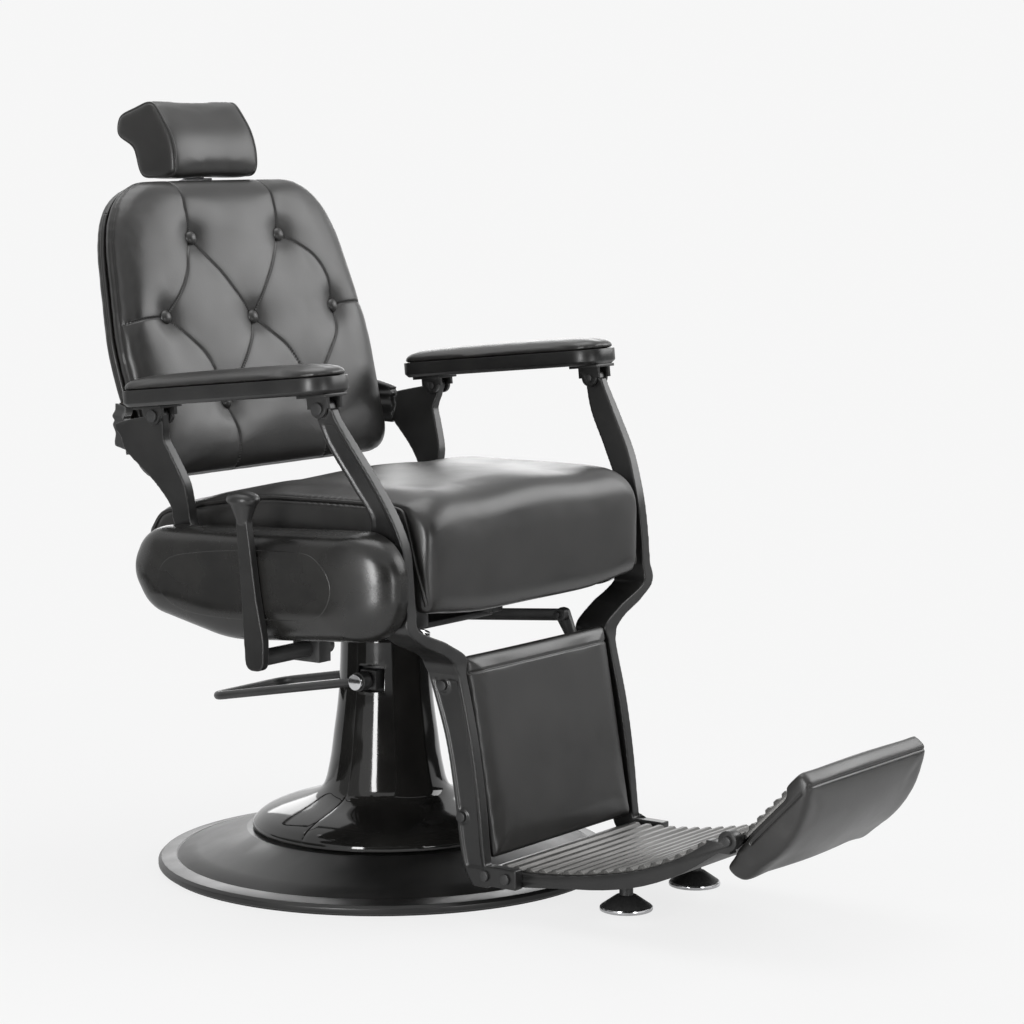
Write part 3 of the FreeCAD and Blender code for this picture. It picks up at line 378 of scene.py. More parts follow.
# %% [markdown]
# ## Workshop helpers
# A CAD mesh arrives as loose triangles. A copy is merged first, its flat triangles are
# dissolved into whole faces, and then a bevel can round every edge as casting and
# pressing do. Without those small radii, edges catch no light and look cut from card.


# %% Copying and rounding
MERGE = 0.03  # points closer than this are one, in mm
FLAT_ANGLE = 1.0  # triangles that meet at less are one face, in degrees
EDGE_ANGLE = 32  # faces that meet at more have an edge to round, in degrees


def only(obj):
    """Makes this the one selected and active object."""
    bpy.ops.object.select_all(action="DESELECT")
    obj.select_set(True)
    bpy.context.view_layer.objects.active = obj


def edit_all(obj):
    """Leaves edit mode on with everything selected."""
    only(obj)
    bpy.ops.object.mode_set(mode="EDIT")
    bpy.ops.mesh.select_all(action="SELECT")


def apply(obj, kind, **settings):
    """Adds a modifier and applies it at once."""
    only(obj)
    modifier = obj.modifiers.new(kind.title(), kind)
    for key, value in settings.items():
        setattr(modifier, key, value)
    bpy.ops.object.modifier_apply(modifier=modifier.name)


def copy_of(node, name):
    """A copy of a CAD node with its loose triangles merged."""
    obj = bpy.data.objects.new(name, nodes[node].data.copy())
    scene.collection.objects.link(obj)
    only(obj)
    bpy.ops.mesh.customdata_custom_splitnormals_clear()
    edit_all(obj)
    bpy.ops.mesh.remove_doubles(threshold=MERGE * MM)
    bpy.ops.object.mode_set(mode="OBJECT")
    return obj


def whole_faces(obj):
    """Dissolves the flat triangles of a merged copy into whole faces."""
    edit_all(obj)
    bpy.ops.mesh.dissolve_limited(angle_limit=math.radians(FLAT_ANGLE))
    bpy.ops.object.mode_set(mode="OBJECT")


def smooth_by(obj, angle):
    """Smooth shading that keeps edges sharper than an angle in degrees."""
    only(obj)
    bpy.ops.object.shade_smooth_by_angle(angle=math.radians(angle))


def smooth(obj):
    """Smooth shading all over."""
    only(obj)
    bpy.ops.object.shade_smooth()


def one_skin(obj, voxel):
    """Remeshes an object as one even skin; voxel is its cell in mm."""
    obj.data.remesh_voxel_size = voxel * MM
    only(obj)
    bpy.ops.object.voxel_remesh()


def pick_faces(obj, chosen):
    """Leaves edit mode on with only the chosen faces selected."""
    only(obj)
    bpy.ops.object.mode_set(mode="EDIT")
    bpy.ops.mesh.select_mode(type="FACE")
    bpy.ops.mesh.select_all(action="DESELECT")
    bpy.ops.object.mode_set(mode="OBJECT")
    obj.data.polygons.foreach_set("select", np.asarray(chosen, bool))
    bpy.ops.object.mode_set(mode="EDIT")


def softened(node, name, radius):
    """A copy of a CAD node with its edges rounded to a radius in mm."""
    obj = copy_of(node, name)
    whole_faces(obj)
    if radius:
        apply(obj, "BEVEL", width=radius * MM, segments=2, limit_method="ANGLE",
              angle_limit=math.radians(EDGE_ANGLE))
    smooth_by(obj, EDGE_ANGLE)
    return obj


def dress(obj, body, slot, material, *stands_for):
    """Gives a piece its finish and its body, and hides the nodes it replaces. The slot is not used."""
    obj.data.materials.clear()
    obj.data.materials.append(material)
    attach(obj, body)
    if stands_for:
        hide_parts(*stands_for)
    return obj


# %% Points and lines
def coords(obj):
    """An object's points in metres, one a row."""
    flat = np.empty(len(obj.data.vertices) * 3)
    obj.data.vertices.foreach_get("co", flat)
    return flat.reshape(-1, 3)


def set_coords(obj, points):
    """Moves an object's points."""
    obj.data.vertices.foreach_set("co", points.astype(np.float32).ravel())
    obj.data.update()


def normals(obj):
    """The normal at each point of an object."""
    flat = np.empty(len(obj.data.vertices) * 3)
    obj.data.vertices.foreach_get("normal", flat)
    return flat.reshape(-1, 3)


def face_middles(obj):
    """The middle of each face of an object."""
    return np.array([polygon.center for polygon in obj.data.polygons])


def fair_line(points, per=10, closed=False):
    """A smooth line through control points (Catmull-Rom), with per steps a span."""
    p = np.asarray(points, float)
    p = np.vstack([p[-1:], p, p[:2]]) if closed else np.vstack([2 * p[0] - p[1], p, 2 * p[-1] - p[-2]])
    out = []
    for a, b, c, d in zip(p[:-3], p[1:-2], p[2:-1], p[3:]):
        for t in np.arange(per) / per:
            out.append(0.5 * (2 * b + (c - a) * t + (2 * a - 5 * b + 4 * c - d) * t ** 2
                              + (3 * b - a - 3 * c + d) * t ** 3))
    if not closed:
        out.append(p[-2])
    return np.array(out)


def skin_of(obj):
    """A search tree on an object's surface."""
    return BVHTree.FromObject(obj, bpy.context.evaluated_depsgraph_get())


# %% [markdown]
# ## Hidden and plain parts
# The ply boards, the bronze cup and the pump's barrel hardly show. Their CAD shape is right
# as it is, so they only take a finish. The visible turned and pressed parts are copied with
# rounded edges, each radius the one such a part would have.

# %% Parts that keep their CAD shape
KEPT = {"base_socket": steel, "swivel_bush": bronze, "socket_bolts": steel, "pump_cylinder": steel,
        "seat_board": ply, "legrest_board": ply, "back_board": ply, "headrest_guide": steel}
for node, material in KEPT.items():
    nodes[node].data.materials.clear()
    nodes[node].data.materials.append(material)

# %% Rounded copies
ROUNDED = [  # node, body, slot, finish, edge radius in mm
    ("floor_pad", "base", "rubber", rubber, 1.0),
    ("base_plate", "base", "cast_black", cast_black, 1.5),
    ("pump_head", "pump", "black_steel", black_steel, 1.0),
    ("pedal_pivots", "pump", "chrome", chrome, 1.0),
    ("pedal_loop", "pedal", "black_steel", black_steel, 0.5),
    ("pump_ram", "seat", "chrome", chrome, 0.6),
    ("ram_plate", "seat", "black_steel", black_steel, 1.0),
    ("seat_riser", "seat", "black_steel", black_steel, 1.0),
    ("seat_crossbars", "seat", "black_steel", black_steel, 1.0),
    ("side_plate_left", "seat", "black_steel", black_steel, 1.0),
    ("side_plate_right", "seat", "black_steel", black_steel, 1.0),
    ("front_pivot_pins", "seat", "steel", steel, 0.8),
    ("lever_bracket", "seat", "black_steel", black_steel, 1.2),
    ("lever_shaft", "lever", "black_steel", black_steel, 0.6),
    ("frame_bolts", "front_frame", "black_steel", black_steel, 1.2),
    ("leg_cross_upper", "front_frame", "black_steel", black_steel, 1.0),
    ("leg_cross_lower", "front_frame", "black_steel", black_steel, 1.0),
    ("foot_plate", "front_frame", "cast_black", cast_black, 2.0),
    ("foot_tread", "front_frame", "tread", tread, 0.7),
    ("flip_hinge_rod", "front_frame", "black_steel", black_steel, 0.8),
    ("foot_cones", "front_frame", "plastic", plastic, 1.2),
    ("foot_rings", "front_frame", "chrome", chrome, 1.8),
    ("flip_plate", "foot_flap", "tread", tread, 0.7),
    ("arm_tray_left", "arm_left", "cast_black", cast_black, 3.0),
    ("arm_tray_right", "arm_right", "cast_black", cast_black, 3.0),
    ("arm_brackets_left", "arm_left", "cast_black", cast_black, 1.5),
    ("arm_brackets_right", "arm_right", "cast_black", cast_black, 1.5),
    ("arm_pins_left", "arm_left", "black_steel", black_steel, 0.8),
    ("arm_pins_right", "arm_right", "black_steel", black_steel, 0.8),
    ("link_bar", "link", "black_steel", black_steel, 1.2),
    ("back_tube", "back", "black_steel", black_steel, 0.8),
    ("headrest_bar", "headrest", "chrome", chrome, 0.8),
    ("column_cover_front", "pump", "gloss_cover", gloss_cover, 0.8),
    ("column_cover_rear", "pump", "gloss_cover", gloss_cover, 0.8),
    ("side_cover_left", "seat", "gloss_cover", satin_cover, 0),
    ("side_cover_right", "seat", "gloss_cover", satin_cover, 0),
]
for node, body, slot, material, radius in ROUNDED:
    dress(softened(node, node + "_rounded", radius), body, slot, material, node)
print("rounded copies", len(ROUNDED))

# %% [markdown]
# ## Inlay of the side covers
# A thin plate with a round end is let into each side cover and stays bare. Its outline is
# inset ring by ring, so that there are points inside it, and every point is then dropped
# on to the cover. The first ring stays low, which leaves the fine line round the plate.

# %% Cover inlays
INLAY = [(90, 459), (36, 471), (-39, 479), (-99, 482), (-138, 482), (-161, 473), (-177, 457), (-182, 437),
         (-175, 416), (-160, 401), (-138, 395), (-90, 392), (-20, 387), (60, 389), (98, 404), (110, 432)]
INLAY_RINGS = (0.8, 0.8, 4, 9, 9)  # widths in mm, from the edge inwards
INLAY_RISES = (-0.6, 0.35, 0.7)  # mm over the cover, of the edge, the first ring and the rest
OUTSIDE = 0.38  # metres from the middle, clear of both covers


def inlay(side, sign, shift):
    """The plate of one cover, moved towards the rear by shift mm."""
    cover = bpy.data.objects["side_cover_" + side + "_rounded"]
    line = fair_line(INLAY, per=6, closed=True)
    mesh = bpy.data.meshes.new("side_cover_inlay_" + side)
    mesh.from_pydata([(sign * OUTSIDE, (y + shift) * MM, z * MM) for y, z in line], [],
                     [tuple(range(len(line)))])
    obj = bpy.data.objects.new(mesh.name, mesh)
    scene.collection.objects.link(obj)
    pick_faces(obj, [True])
    for ring in INLAY_RINGS:
        bpy.ops.mesh.inset(thickness=ring * MM, depth=0.0)
    bpy.ops.mesh.quads_convert_to_tris()
    bpy.ops.object.mode_set(mode="OBJECT")
    skin = skin_of(cover)
    points = coords(obj)
    for k, point in enumerate(points):
        hit, *_ = skin.ray_cast(Vector(point), Vector((-sign, 0, 0)))
        rise = INLAY_RISES[min(k // len(line), 2)]
        points[k, 0] = hit.x + sign * rise * MM
    set_coords(obj, points)
    edit_all(obj)
    bpy.ops.mesh.normals_make_consistent(inside=False)
    bpy.ops.object.mode_set(mode="OBJECT")
    smooth_by(obj, 60)
    return dress(obj, "seat", "gloss_cover", satin_cover)


for side, sign, shift in (("right", -1, 0), ("left", 1, 30)):
    made = inlay(side, sign, shift)
    print(made.name, len(made.data.polygons), "faces")

# %% [markdown]
# ## Cast bars
# Each side frame is one long casting: arm post, pivot boss, jog under the seat and leg. The
# CAD solid joins its stations with straight spans, and here they are bent into fair curves
# through the same stations. A raised rim round a shallow web saves iron, so the outer
# faces are inset first. Smoothing at the end rounds every edge as a mould does.

# %% Stations of the castings
FRAME_STATIONS = [  # height, front edge, rear edge, distance from the middle, all in mm
    (664, -158.5, -131, 303), (650, -165, -134, 302), (616, -186, -147, 296), (567, -216, -177, 286),
    (526, -235, -199, 276), (489, -247, -190, 270), (450, -252, -178, 270), (412, -255, -192, 270),
    (384, -258, -206, 270), (361, -259, -209, 226), (338, -260, -210, 180), (314, -263, -212, 173),
    (234, -281.6, -239, 173), (157, -294, -254, 173), (92, -301, -263, 173), (61, -305, -271, 173),
    (41, -308, -284, 173)]
ARM_STATIONS = [  # the same, of the back's arms
    (404, 60, 92, 270), (430, 58, 98, 270), (456, 76, 112, 270), (494, 107, 139, 270), (518, 110, 143, 273),
    (550, 112, 166, 280), (587, 126, 205, 289), (607, 134, 211, 294), (625, 131, 215, 299),
    (640, 129, 150, 303)]
FRAME_WEBS = ((60, 316), (500, 645))  # heights between which a frame's outer face is sunk
RIM_WIDTH, WEB_SLOPE, WEB_DEPTH = 5.0, 1.2, 2.2
CAST_VOXEL = 1.9


def bend(obj, stations, sign):
    """Moves a straight-spanned bar on to fair curves through the same stations."""
    rows = np.array(sorted(stations), float)
    curve = fair_line(rows, per=12)
    points = coords(obj) / MM
    z = np.clip(points[:, 2], rows[0, 0], rows[-1, 0])
    order = np.argsort(curve[:, 0], kind="stable")
    shifts = []
    for k in (1, 2, 3):
        shifts.append(np.interp(z, curve[order, 0], curve[order, k]) - np.interp(z, rows[:, 0], rows[:, k]))
    front, rear = np.interp(z, rows[:, 0], rows[:, 1]), np.interp(z, rows[:, 0], rows[:, 2])
    back_share = np.clip((points[:, 1] - front) / (rear - front), 0.0, 1.0)
    points[:, 0] += sign * shifts[2]
    points[:, 1] += shifts[0] * (1 - back_share) + shifts[1] * back_share
    set_coords(obj, points * MM)
    return max(float(np.abs(shift).max()) for shift in shifts)


# %% Side frames and back arms
def casting(node, body, sign, stations, webs):
    """A cast bar in place of its CAD node, with sunk webs on its outer face."""
    obj = copy_of(node, node + "_cast")
    whole_faces(obj)
    chosen = []
    for polygon in obj.data.polygons:
        z = polygon.center.z / MM
        chosen.append(any(a < z < b for a, b in webs) and polygon.normal.x * sign > 0.75)
    pick_faces(obj, chosen)
    if any(chosen):
        bpy.ops.mesh.inset(thickness=RIM_WIDTH * MM, depth=0.0)
        bpy.ops.mesh.inset(thickness=WEB_SLOPE * MM, depth=-WEB_DEPTH * MM)
    bpy.ops.object.mode_set(mode="OBJECT")
    one_skin(obj, CAST_VOXEL)
    moved = bend(obj, stations, sign)
    apply(obj, "SMOOTH", factor=0.5, iterations=4)
    smooth(obj)
    dress(obj, body, "cast_black", cast_black, node)
    print(obj.name, len(obj.data.polygons), "faces, bent by up to", round(moved, 1), "mm")


for side, sign in (("left", 1), ("right", -1)):
    casting("side_frame_" + side, "front_frame", sign, FRAME_STATIONS, FRAME_WEBS)
    casting("back_arm_" + side, "back", sign, ARM_STATIONS, ())

# %% [markdown]
# ## Recline lever
# The lever is one forging with a moulded knob like a mushroom, which flows into its neck.
# A flattened ball and a cone take the places of the CAD knob's ball and neck. Joined to the
# bar and remeshed as one skin they flow together, and smoothing rounds the flow.

# %% Lever
BALL_WIDE, BALL_THIN, BALL_TALL = 0.56, 0.82, 0.3  # radius, flatness and half height, shares of the CAD knob
NECK_FOOT = 8.5  # radius in mm
NECK_LONG, NECK_DOWN = 0.85, 0.72  # length and depth of its middle, shares of the knob's height
LEVER_VOXEL = 1.4
lever = copy_of("recline_lever", "recline_lever_grip")
knob = copy_of("lever_knob", "lever_knob_copy")
low, high = coords(knob).min(axis=0), coords(knob).max(axis=0)
middle, wide, tall = (low + high) / 2, (high - low)[1] * BALL_WIDE, (high - low)[2]
bpy.data.objects.remove(knob)
bpy.ops.mesh.primitive_uv_sphere_add(segments=40, ring_count=24, radius=1.0,
                                     location=(middle[0], middle[1], high[2] - BALL_TALL * tall))
ball = bpy.context.object
ball.scale = (wide * BALL_THIN, wide, BALL_TALL * tall)
bpy.ops.mesh.primitive_cone_add(vertices=40, radius1=NECK_FOOT * MM, radius2=wide * BALL_THIN,
                                depth=NECK_LONG * tall,
                                location=(middle[0], middle[1] - 1.0 * MM, high[2] - NECK_DOWN * tall))
neck = bpy.context.object
only(lever)
ball.select_set(True)
neck.select_set(True)
bpy.ops.object.join()
one_skin(lever, LEVER_VOXEL)
apply(lever, "SMOOTH", factor=0.5, iterations=9)
smooth(lever)
dress(lever, "lever", "cast_black", cast_black, "recline_lever", "lever_knob")
print("lever", len(lever.data.polygons), "faces, knob", np.round((high - low) / MM, 1), "mm")

# %% [markdown]
# ## Cushions
# A cushion is foam under a sewn cover: it is tight, crowned, and drawn in at its seams. Each
# starts as a copy of its CAD solid, remeshed to an even skin, set in a little, and blown up
# by a short cloth run with the side on its board held. Capping the movement keeps its size.


# %% Stuffing helpers
def even_skin(node, name, voxel, ease=8):
    """The outer skin of a CAD cushion in even cells of voxel mm, eased by smoothing."""
    obj = copy_of(node, name)
    obj.data.materials.clear()
    one_skin(obj, voxel)
    bpy.ops.object.mode_set(mode="EDIT")
    bpy.ops.mesh.select_mode(type="VERT")
    bpy.ops.mesh.select_all(action="DESELECT")
    bpy.ops.object.mode_set(mode="OBJECT")
    obj.data.vertices[int(np.argmin(coords(obj)[:, 1]))].select = True
    bpy.ops.object.mode_set(mode="EDIT")
    bpy.ops.mesh.select_linked()
    bpy.ops.mesh.select_all(action="INVERT")
    bpy.ops.mesh.delete(type="VERT")
    bpy.ops.object.mode_set(mode="OBJECT")
    apply(obj, "SMOOTH", factor=0.5, iterations=ease)
    return obj


def stuff(obj, held, set_in, cap, pressure=4.0, frames=20, ease=5):
    """Sets the skin in and blows it up again, by at most cap mm.

    held is 1 where the skin can't move and 0 where it is free.
    """
    start = coords(obj)
    free = (1.0 - held)[:, None]
    rest = start - normals(obj) * set_in * MM * free
    set_coords(obj, rest)
    group = obj.vertex_groups.new(name="held")
    for step in range(11):
        chosen = np.nonzero(np.round(held * 10).astype(int) == step)[0]
        if step and len(chosen):
            group.add([int(i) for i in chosen], step / 10.0, "REPLACE")
    only(obj)
    cloth = obj.modifiers.new("Cloth", "CLOTH")
    cloth.settings.quality = 4
    cloth.settings.mass = 0.3
    cloth.settings.use_pressure = True
    cloth.settings.uniform_pressure_force = pressure
    cloth.settings.effector_weights.gravity = 0.0
    cloth.settings.vertex_group_mass = "held"
    cloth.collision_settings.use_collision = False
    cloth.point_cache.frame_start, cloth.point_cache.frame_end = 1, frames
    for number in range(1, frames + 1):
        scene.frame_set(number)
    bpy.ops.object.modifier_apply(modifier=cloth.name)
    scene.frame_set(1)
    step = coords(obj) - rest
    length = np.linalg.norm(step, axis=1, keepdims=True)
    step *= np.minimum(1.0, cap * MM / np.maximum(length, 1e-9))
    set_coords(obj, rest + step)
    obj.vertex_groups.clear()
    apply(obj, "SMOOTH", factor=0.5, iterations=ease)
    print(obj.name, "swelled by up to", round(float(length.max()) / MM, 1), "mm, capped at", cap)
    apply(obj, "SUBSURF", levels=1, render_levels=1)
    smooth(obj)


def ramp(value, low, high):
    """0 below low, 1 above high, smooth between."""
    t = np.clip((value - low) / (high - low), 0.0, 1.0)
    return t * t * (3.0 - 2.0 * t)


def distance_to(points, line):
    """Least distance of each point to the points of a dense line."""
    best = np.full(len(points), 1e9)
    for spot in line:
        best = np.minimum(best, np.linalg.norm(points - spot, axis=1))
    return best


def dent(distance, deep, wide):
    """Depth of a soft dent at some distance from its middle."""
    return deep * np.exp(-(distance / wide) ** 2)


def piping(name, line, radius, skin, body, lift=0.0, closed=False):
    """A sewn cord of leather that lies on a cushion's skin along a line of points in metres."""
    track = []
    for spot in line:
        near, normal, *_ = skin.find_nearest(Vector(spot))
        track.append(np.array(near + normal * lift * MM))
    track = np.array(track)
    for _ in range(2):
        track[1:-1] = (track[:-2] + 2 * track[1:-1] + track[2:]) / 4
    curve = bpy.data.curves.new(name, "CURVE")
    curve.dimensions = "3D"
    curve.bevel_depth = radius * MM
    curve.bevel_resolution = 3
    curve.use_fill_caps = True
    spline = curve.splines.new("POLY")
    spline.points.add(len(track) - 1)
    spline.points.foreach_set("co", np.hstack([track, np.ones((len(track), 1))]).ravel())
    spline.use_cyclic_u = closed
    obj = bpy.data.objects.new(name, curve)
    scene.collection.objects.link(obj)
    only(obj)
    bpy.ops.object.convert(target="MESH")
    obj = bpy.context.object
    smooth(obj)
    dress(obj, body, "leather", leather)


def groove(obj, line, depth, width, cuts=2, ease=0):
    """Draws the skin in along a line of points in metres, as a seam does; depth and width are in mm."""
    skin = skin_of(obj)
    line = np.array([skin.find_nearest(Vector(spot))[0] for spot in line])
    pick_faces(obj, distance_to(face_middles(obj), line) < (2.5 * width + 2.0) * MM)
    bpy.ops.mesh.subdivide(number_cuts=cuts)
    bpy.ops.object.mode_set(mode="OBJECT")
    points = coords(obj)
    points -= normals(obj) * dent(distance_to(points, line), depth * MM, width * MM)[:, None]
    set_coords(obj, points)
    if ease:
        pick_faces(obj, distance_to(face_middles(obj), line) < 3 * width * MM)
        bpy.ops.mesh.vertices_smooth(factor=0.5, repeat=ease)
        bpy.ops.object.mode_set(mode="OBJECT")


# %% [markdown]
# ## Seat
# The seat is a thick box cushion whose top rolls over the front edge. Its sides are boxed
# with a piped seam that follows the top edge and runs down the front corners.

# %% Seat cushion
SEAT_SEAM = [(206, 478), (190, 500), (148, 512), (112, 524), (38, 535), (-45, 539), (-145, 541), (-204, 535),
             (-223, 520), (-239, 470), (-250, 430), (-254, 412)]
seat = even_skin("seat_cushion", "seat_cushion_leather", 5.0, ease=16)
p, n = coords(seat), normals(seat)
held = np.maximum(ramp(-n[:, 2], 0.5, 0.8), ramp(p[:, 1], 0.12, 0.2))
stuff(seat, held, set_in=0.8, cap=1.8, pressure=2.0, ease=16)
for side, x in (("left", 239), ("right", -239)):
    line = np.array([(x, y, z) for y, z in fair_line(SEAT_SEAM)]) * MM
    groove(seat, line, depth=2.5, width=6.0, cuts=1, ease=8)
    piping("seat_piping_" + side, line, 2.6, skin_of(seat), "seat", lift=1.4)
dress(seat, "seat", "leather", leather, "seat_cushion")
print("seat", len(seat.data.polygons), "faces")

# %% [markdown]
# ## Tufted back
# Seven covered buttons pull the back's cover down to its board, and folds of leather run
# from button to button and out to the edge. The buttons are held while the panels swell
# between them, and afterwards each fold is pressed in as a narrow crease.

# %% Places of buttons and folds
BACK_BASE = np.array([0.0, 191.0, 560.0])
LEAN = math.radians(15.7)
BACK_AXES = np.array([[1, 0, 0], [0, math.cos(LEAN), -math.sin(LEAN)], [0, math.sin(LEAN), math.cos(LEAN)]])


def on_back(points):
    """Frame points in metres to the back's own millimetres: across, deep, up."""
    return (points / MM - BACK_BASE) @ BACK_AXES.T


def off_back(local):
    """The back's own millimetres to frame points in metres."""
    return (local @ BACK_AXES + BACK_BASE) * MM


TOP_L, TOP_R, MID_L, MID, MID_R, LOW_L, LOW_R = BUTTONS = [
    (-94, 314), (94, 314), (-180, 205), (0, 197), (180, 205), (-95, 81), (95, 81)]
PLEATS = [
    [TOP_L, (-99, 352), (-98, 376), (-103, 404)], [TOP_R, (92, 352), (92, 378), (84, 404)],
    [TOP_L, (-80, 291), (-55, 263), (-32, 234), MID], [TOP_R, (76, 294), (58, 270), (32, 238), MID],
    [TOP_L, (-112, 292), (-124, 266), (-145, 238), MID_L], [TOP_R, (124, 299), (155, 277), (174, 248), MID_R],
    [MID_L, (-222, 204), (-268, 199)], [MID_R, (216, 208), (268, 208)],
    [MID_L, (-146, 172), (-126, 152), (-112, 128), LOW_L], [MID_R, (170, 168), (146, 140), (124, 116), LOW_R],
    [MID, (-18, 168), (-46, 134), LOW_L], [MID, (26, 172), (56, 144), LOW_R],
    [LOW_L, (-92, 52), (-90, 28), (-94, -16)], [LOW_R, (94, 52), (96, 28), (100, -16)]]
FOLDS = np.vstack([fair_line(pleat, per=14) for pleat in PLEATS])
TUFTS = np.array(BUTTONS, float)

# %% Back cushion
PIT_RADIUS, FRONT_FACE = 31, -18.2  # the CAD solid's pits at the buttons are levelled first
back = even_skin("back_cushion", "back_cushion_leather", 6.0)
local = on_back(coords(back))
for x, v in BUTTONS:
    pit = (np.hypot(local[:, 0] - x, local[:, 2] - v) < PIT_RADIUS) & (local[:, 1] < 20)
    local[pit, 1] = FRONT_FACE
set_coords(back, off_back(local))
apply(back, "SMOOTH", factor=0.5, iterations=3)
local = on_back(coords(back))
to_fold = distance_to(local[:, [0, 2]], FOLDS)
to_button = distance_to(local[:, [0, 2]], TUFTS)
front = ramp(-local[:, 1], -8.0, 4.0)
local[:, 1] += front * (dent(to_button, deep=8.5, wide=22.0) + dent(to_fold, deep=0.8, wide=12.0))
set_coords(back, off_back(local))
held = np.maximum(1.0 - front, ramp(-to_button, -20, -10))
stuff(back, held, set_in=1.0, cap=5.0, pressure=2.5)

# %% Creases of the back
middle = on_back(face_middles(back))
near_fold = (distance_to(middle[:, [0, 2]], FOLDS) < 8.0) & (middle[:, 1] < 6.0)
pick_faces(back, near_fold)
bpy.ops.mesh.subdivide(number_cuts=2)
bpy.ops.object.mode_set(mode="OBJECT")
local = on_back(coords(back))
to_fold = distance_to(local[:, [0, 2]], FOLDS)
to_button = distance_to(local[:, [0, 2]], TUFTS)
front = ramp(-local[:, 1], -10.0, 0.0)
local[:, 1] += front * (dent(to_fold, deep=2.4, wide=1.4) + dent(to_fold, deep=0.6, wide=5.0)
                        + dent(to_button, deep=2.0, wide=11.0))
edge = 1.0 - ramp(np.abs(normals(back) @ BACK_AXES[1]), 0.3, 0.7)
rim_seam = edge * dent(local[:, 1] - 6.0, deep=2.0 * MM, wide=2.6)
set_coords(back, off_back(local) - normals(back) * rim_seam[:, None])
dress(back, "back", "leather", leather, "back_cushion")
print("back", len(back.data.polygons), "faces")

# %% Covered buttons
BUTTON_RADIUS, BUTTON_FLAT, BUTTON_PROUD = 10.5, 0.68, 3.6
bpy.ops.mesh.primitive_uv_sphere_add(segments=28, ring_count=16, radius=BUTTON_RADIUS * MM)
button = bpy.context.object
edit_all(button)
bpy.ops.transform.resize(value=(1.0, BUTTON_FLAT, 1.0))
bpy.ops.object.mode_set(mode="OBJECT")
smooth(button)
dome = coords(button) / MM
skin = skin_of(back)
toward_sitter = Vector((0, -math.cos(LEAN), math.sin(LEAN)))
copies = []
for x, v in BUTTONS:
    start = Vector(off_back(np.array([[x, -60.0, v]]))[0])
    hit, *_ = skin.ray_cast(start, -toward_sitter)
    depth = on_back(np.array([hit]))[0, 1]
    one = bpy.data.objects.new("button", button.data.copy())
    scene.collection.objects.link(one)
    set_coords(one, off_back(dome + np.array([x, depth - BUTTON_PROUD, v])))
    copies.append(one)
    print("button at", x, v, "depth", round(depth, 1))
bpy.data.objects.remove(button)
only(copies[0])
for one in copies:
    one.select_set(True)
bpy.ops.object.join()
buttons = bpy.context.object
buttons.name = "back_buttons_leather"
dress(buttons, "back", "leather", leather, "back_buttons")

# %% [markdown]
# ## Back shell, leg rest, headrest and pads
# The other cushions are plainer. They are stuffed in the same way with smaller caps, then
# drawn in along their seams or edged with piping where the real ones are.

# %% Back shell
shell = even_skin("back_shell", "back_shell_leather", 6.0)
local = on_back(coords(shell))
stuff(shell, 1.0 - ramp(local[:, 1], 36, 48), set_in=2.0, cap=5.0, pressure=2.0)
dress(shell, "back", "leather", leather, "back_shell")

# %% Piping round the back
BACK_MIDDLE, RIM_DEEP = 200, 25.0  # height of the back's middle, depth of the shell's rim
local = on_back(coords(shell))
local = local[local[:, 1] < 34]
turn = np.arctan2(local[:, 2] - BACK_MIDDLE, local[:, 0])
rim = []
for angle in np.arange(-math.pi, math.pi, math.pi / 60):
    near = local[np.abs((turn - angle + math.pi) % (2 * math.pi) - math.pi) < math.pi / 40]
    outer = near[np.argmax(np.hypot(near[:, 0], near[:, 2] - BACK_MIDDLE))]
    rim.append((outer[0], RIM_DEEP, outer[2]))
rim = off_back(fair_line(rim, per=2, closed=True))
piping("back_piping", rim, 3.6, skin_of(shell), "back", lift=-1.2, closed=True)

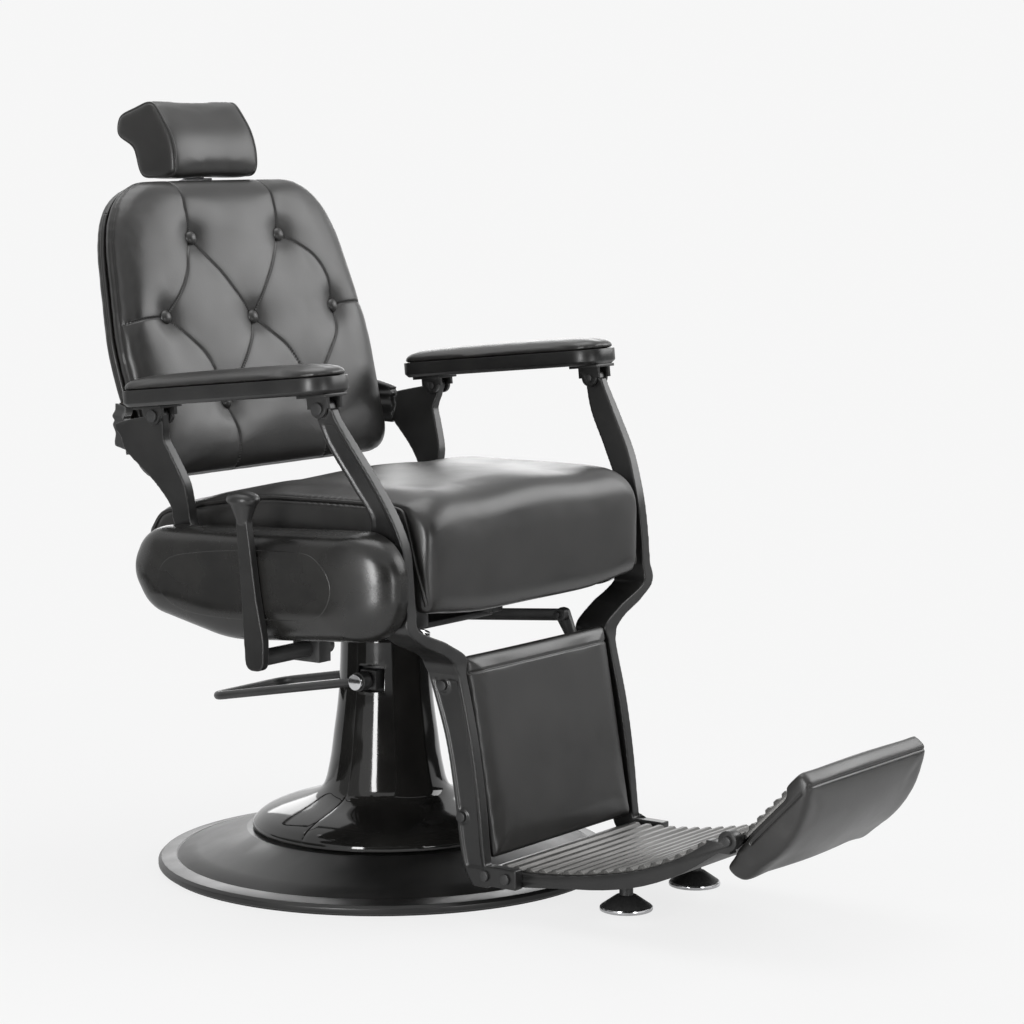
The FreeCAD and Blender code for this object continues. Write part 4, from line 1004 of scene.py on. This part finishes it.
# %% Leg rest
LEG_LEAN = math.radians(10)
LEG_DROP = 11.0  # the leather hangs this far below the CAD cushion
DOWN_LEG = np.array([0.0, math.sin(LEG_LEAN), math.cos(LEG_LEAN)])
LEG_SEAM = np.array([(x, -265, 316) for x in range(-161, 162, 2)]) * MM
legrest = even_skin("legrest_cushion", "legrest_cushion_leather", 5.0, ease=5)
p = coords(legrest)
drop = LEG_DROP * MM * np.clip((0.15 - p[:, 2]) / 0.06, 0.0, 1.0)
set_coords(legrest, p - drop[:, None] * DOWN_LEG)
stuff(legrest, ramp(normals(legrest)[:, 1], 0.3, 0.7), set_in=0.5, cap=1.6, pressure=3.0)
groove(legrest, LEG_SEAM, depth=2.0, width=1.8)
dress(legrest, "front_frame", "leather", leather, "legrest_cushion")

# %% Headrest
HEAD_EDGE = [(341, 1057), (316, 1026), (299, 1000), (295, 975), (297, 948), (330, 947), (363, 947),
             (373, 985), (410, 1006), (406, 1034), (375, 1047)]
head = even_skin("headrest_cushion", "headrest_cushion_leather", 4.0, ease=12)
stuff(head, ramp(normals(head)[:, 1], 0.5, 0.8), set_in=0.4, cap=0.8, pressure=2.0, ease=12)
for side, x in (("left", 88), ("right", -88)):
    line = np.array([(x, y, z) for y, z in fair_line(HEAD_EDGE, closed=True)]) * MM
    piping("headrest_piping_" + side, line, 2.0, skin_of(head), "headrest", closed=True)
dress(head, "headrest", "leather", leather, "headrest_cushion")

# %% Arm pads
for side in ("left", "right"):
    pad = even_skin("arm_pad_" + side, "arm_pad_leather_" + side, 4.0)
    stuff(pad, ramp(-normals(pad)[:, 2], 0.2, 0.6), set_in=1.5, cap=4.0)
    dress(pad, "arm_" + side, "leather", leather, "arm_pad_" + side)

# %% Foot pad
NEAR_END = fair_line([(-150, -684, 146), (-150, -724, 186), (-150, -754, 216)], per=50)
ACROSS = [(x, -769, 226.5) for x in range(-150, 151, 2)]
foot = even_skin("flip_cushion", "flip_cushion_leather", 4.5, ease=12)
stuff(foot, ramp(normals(foot)[:, 2], 0.4, 0.7), set_in=0.6, cap=1.4, pressure=3.0, ease=8)
groove(foot, np.vstack([NEAR_END, ACROSS]) * MM, depth=2.0, width=1.8)
dress(foot, "foot_flap", "leather", leather, "flip_cushion")
print("foot pad", len(foot.data.polygons), "faces")

# %% [markdown]
# ## Size and finish
# The chair in its leather may stand a few millimetres proud of the CAD box and no more.

# %% Finish
low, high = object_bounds()
print("visual box in mm", [round(v / MM) for v in (*low, *high)])
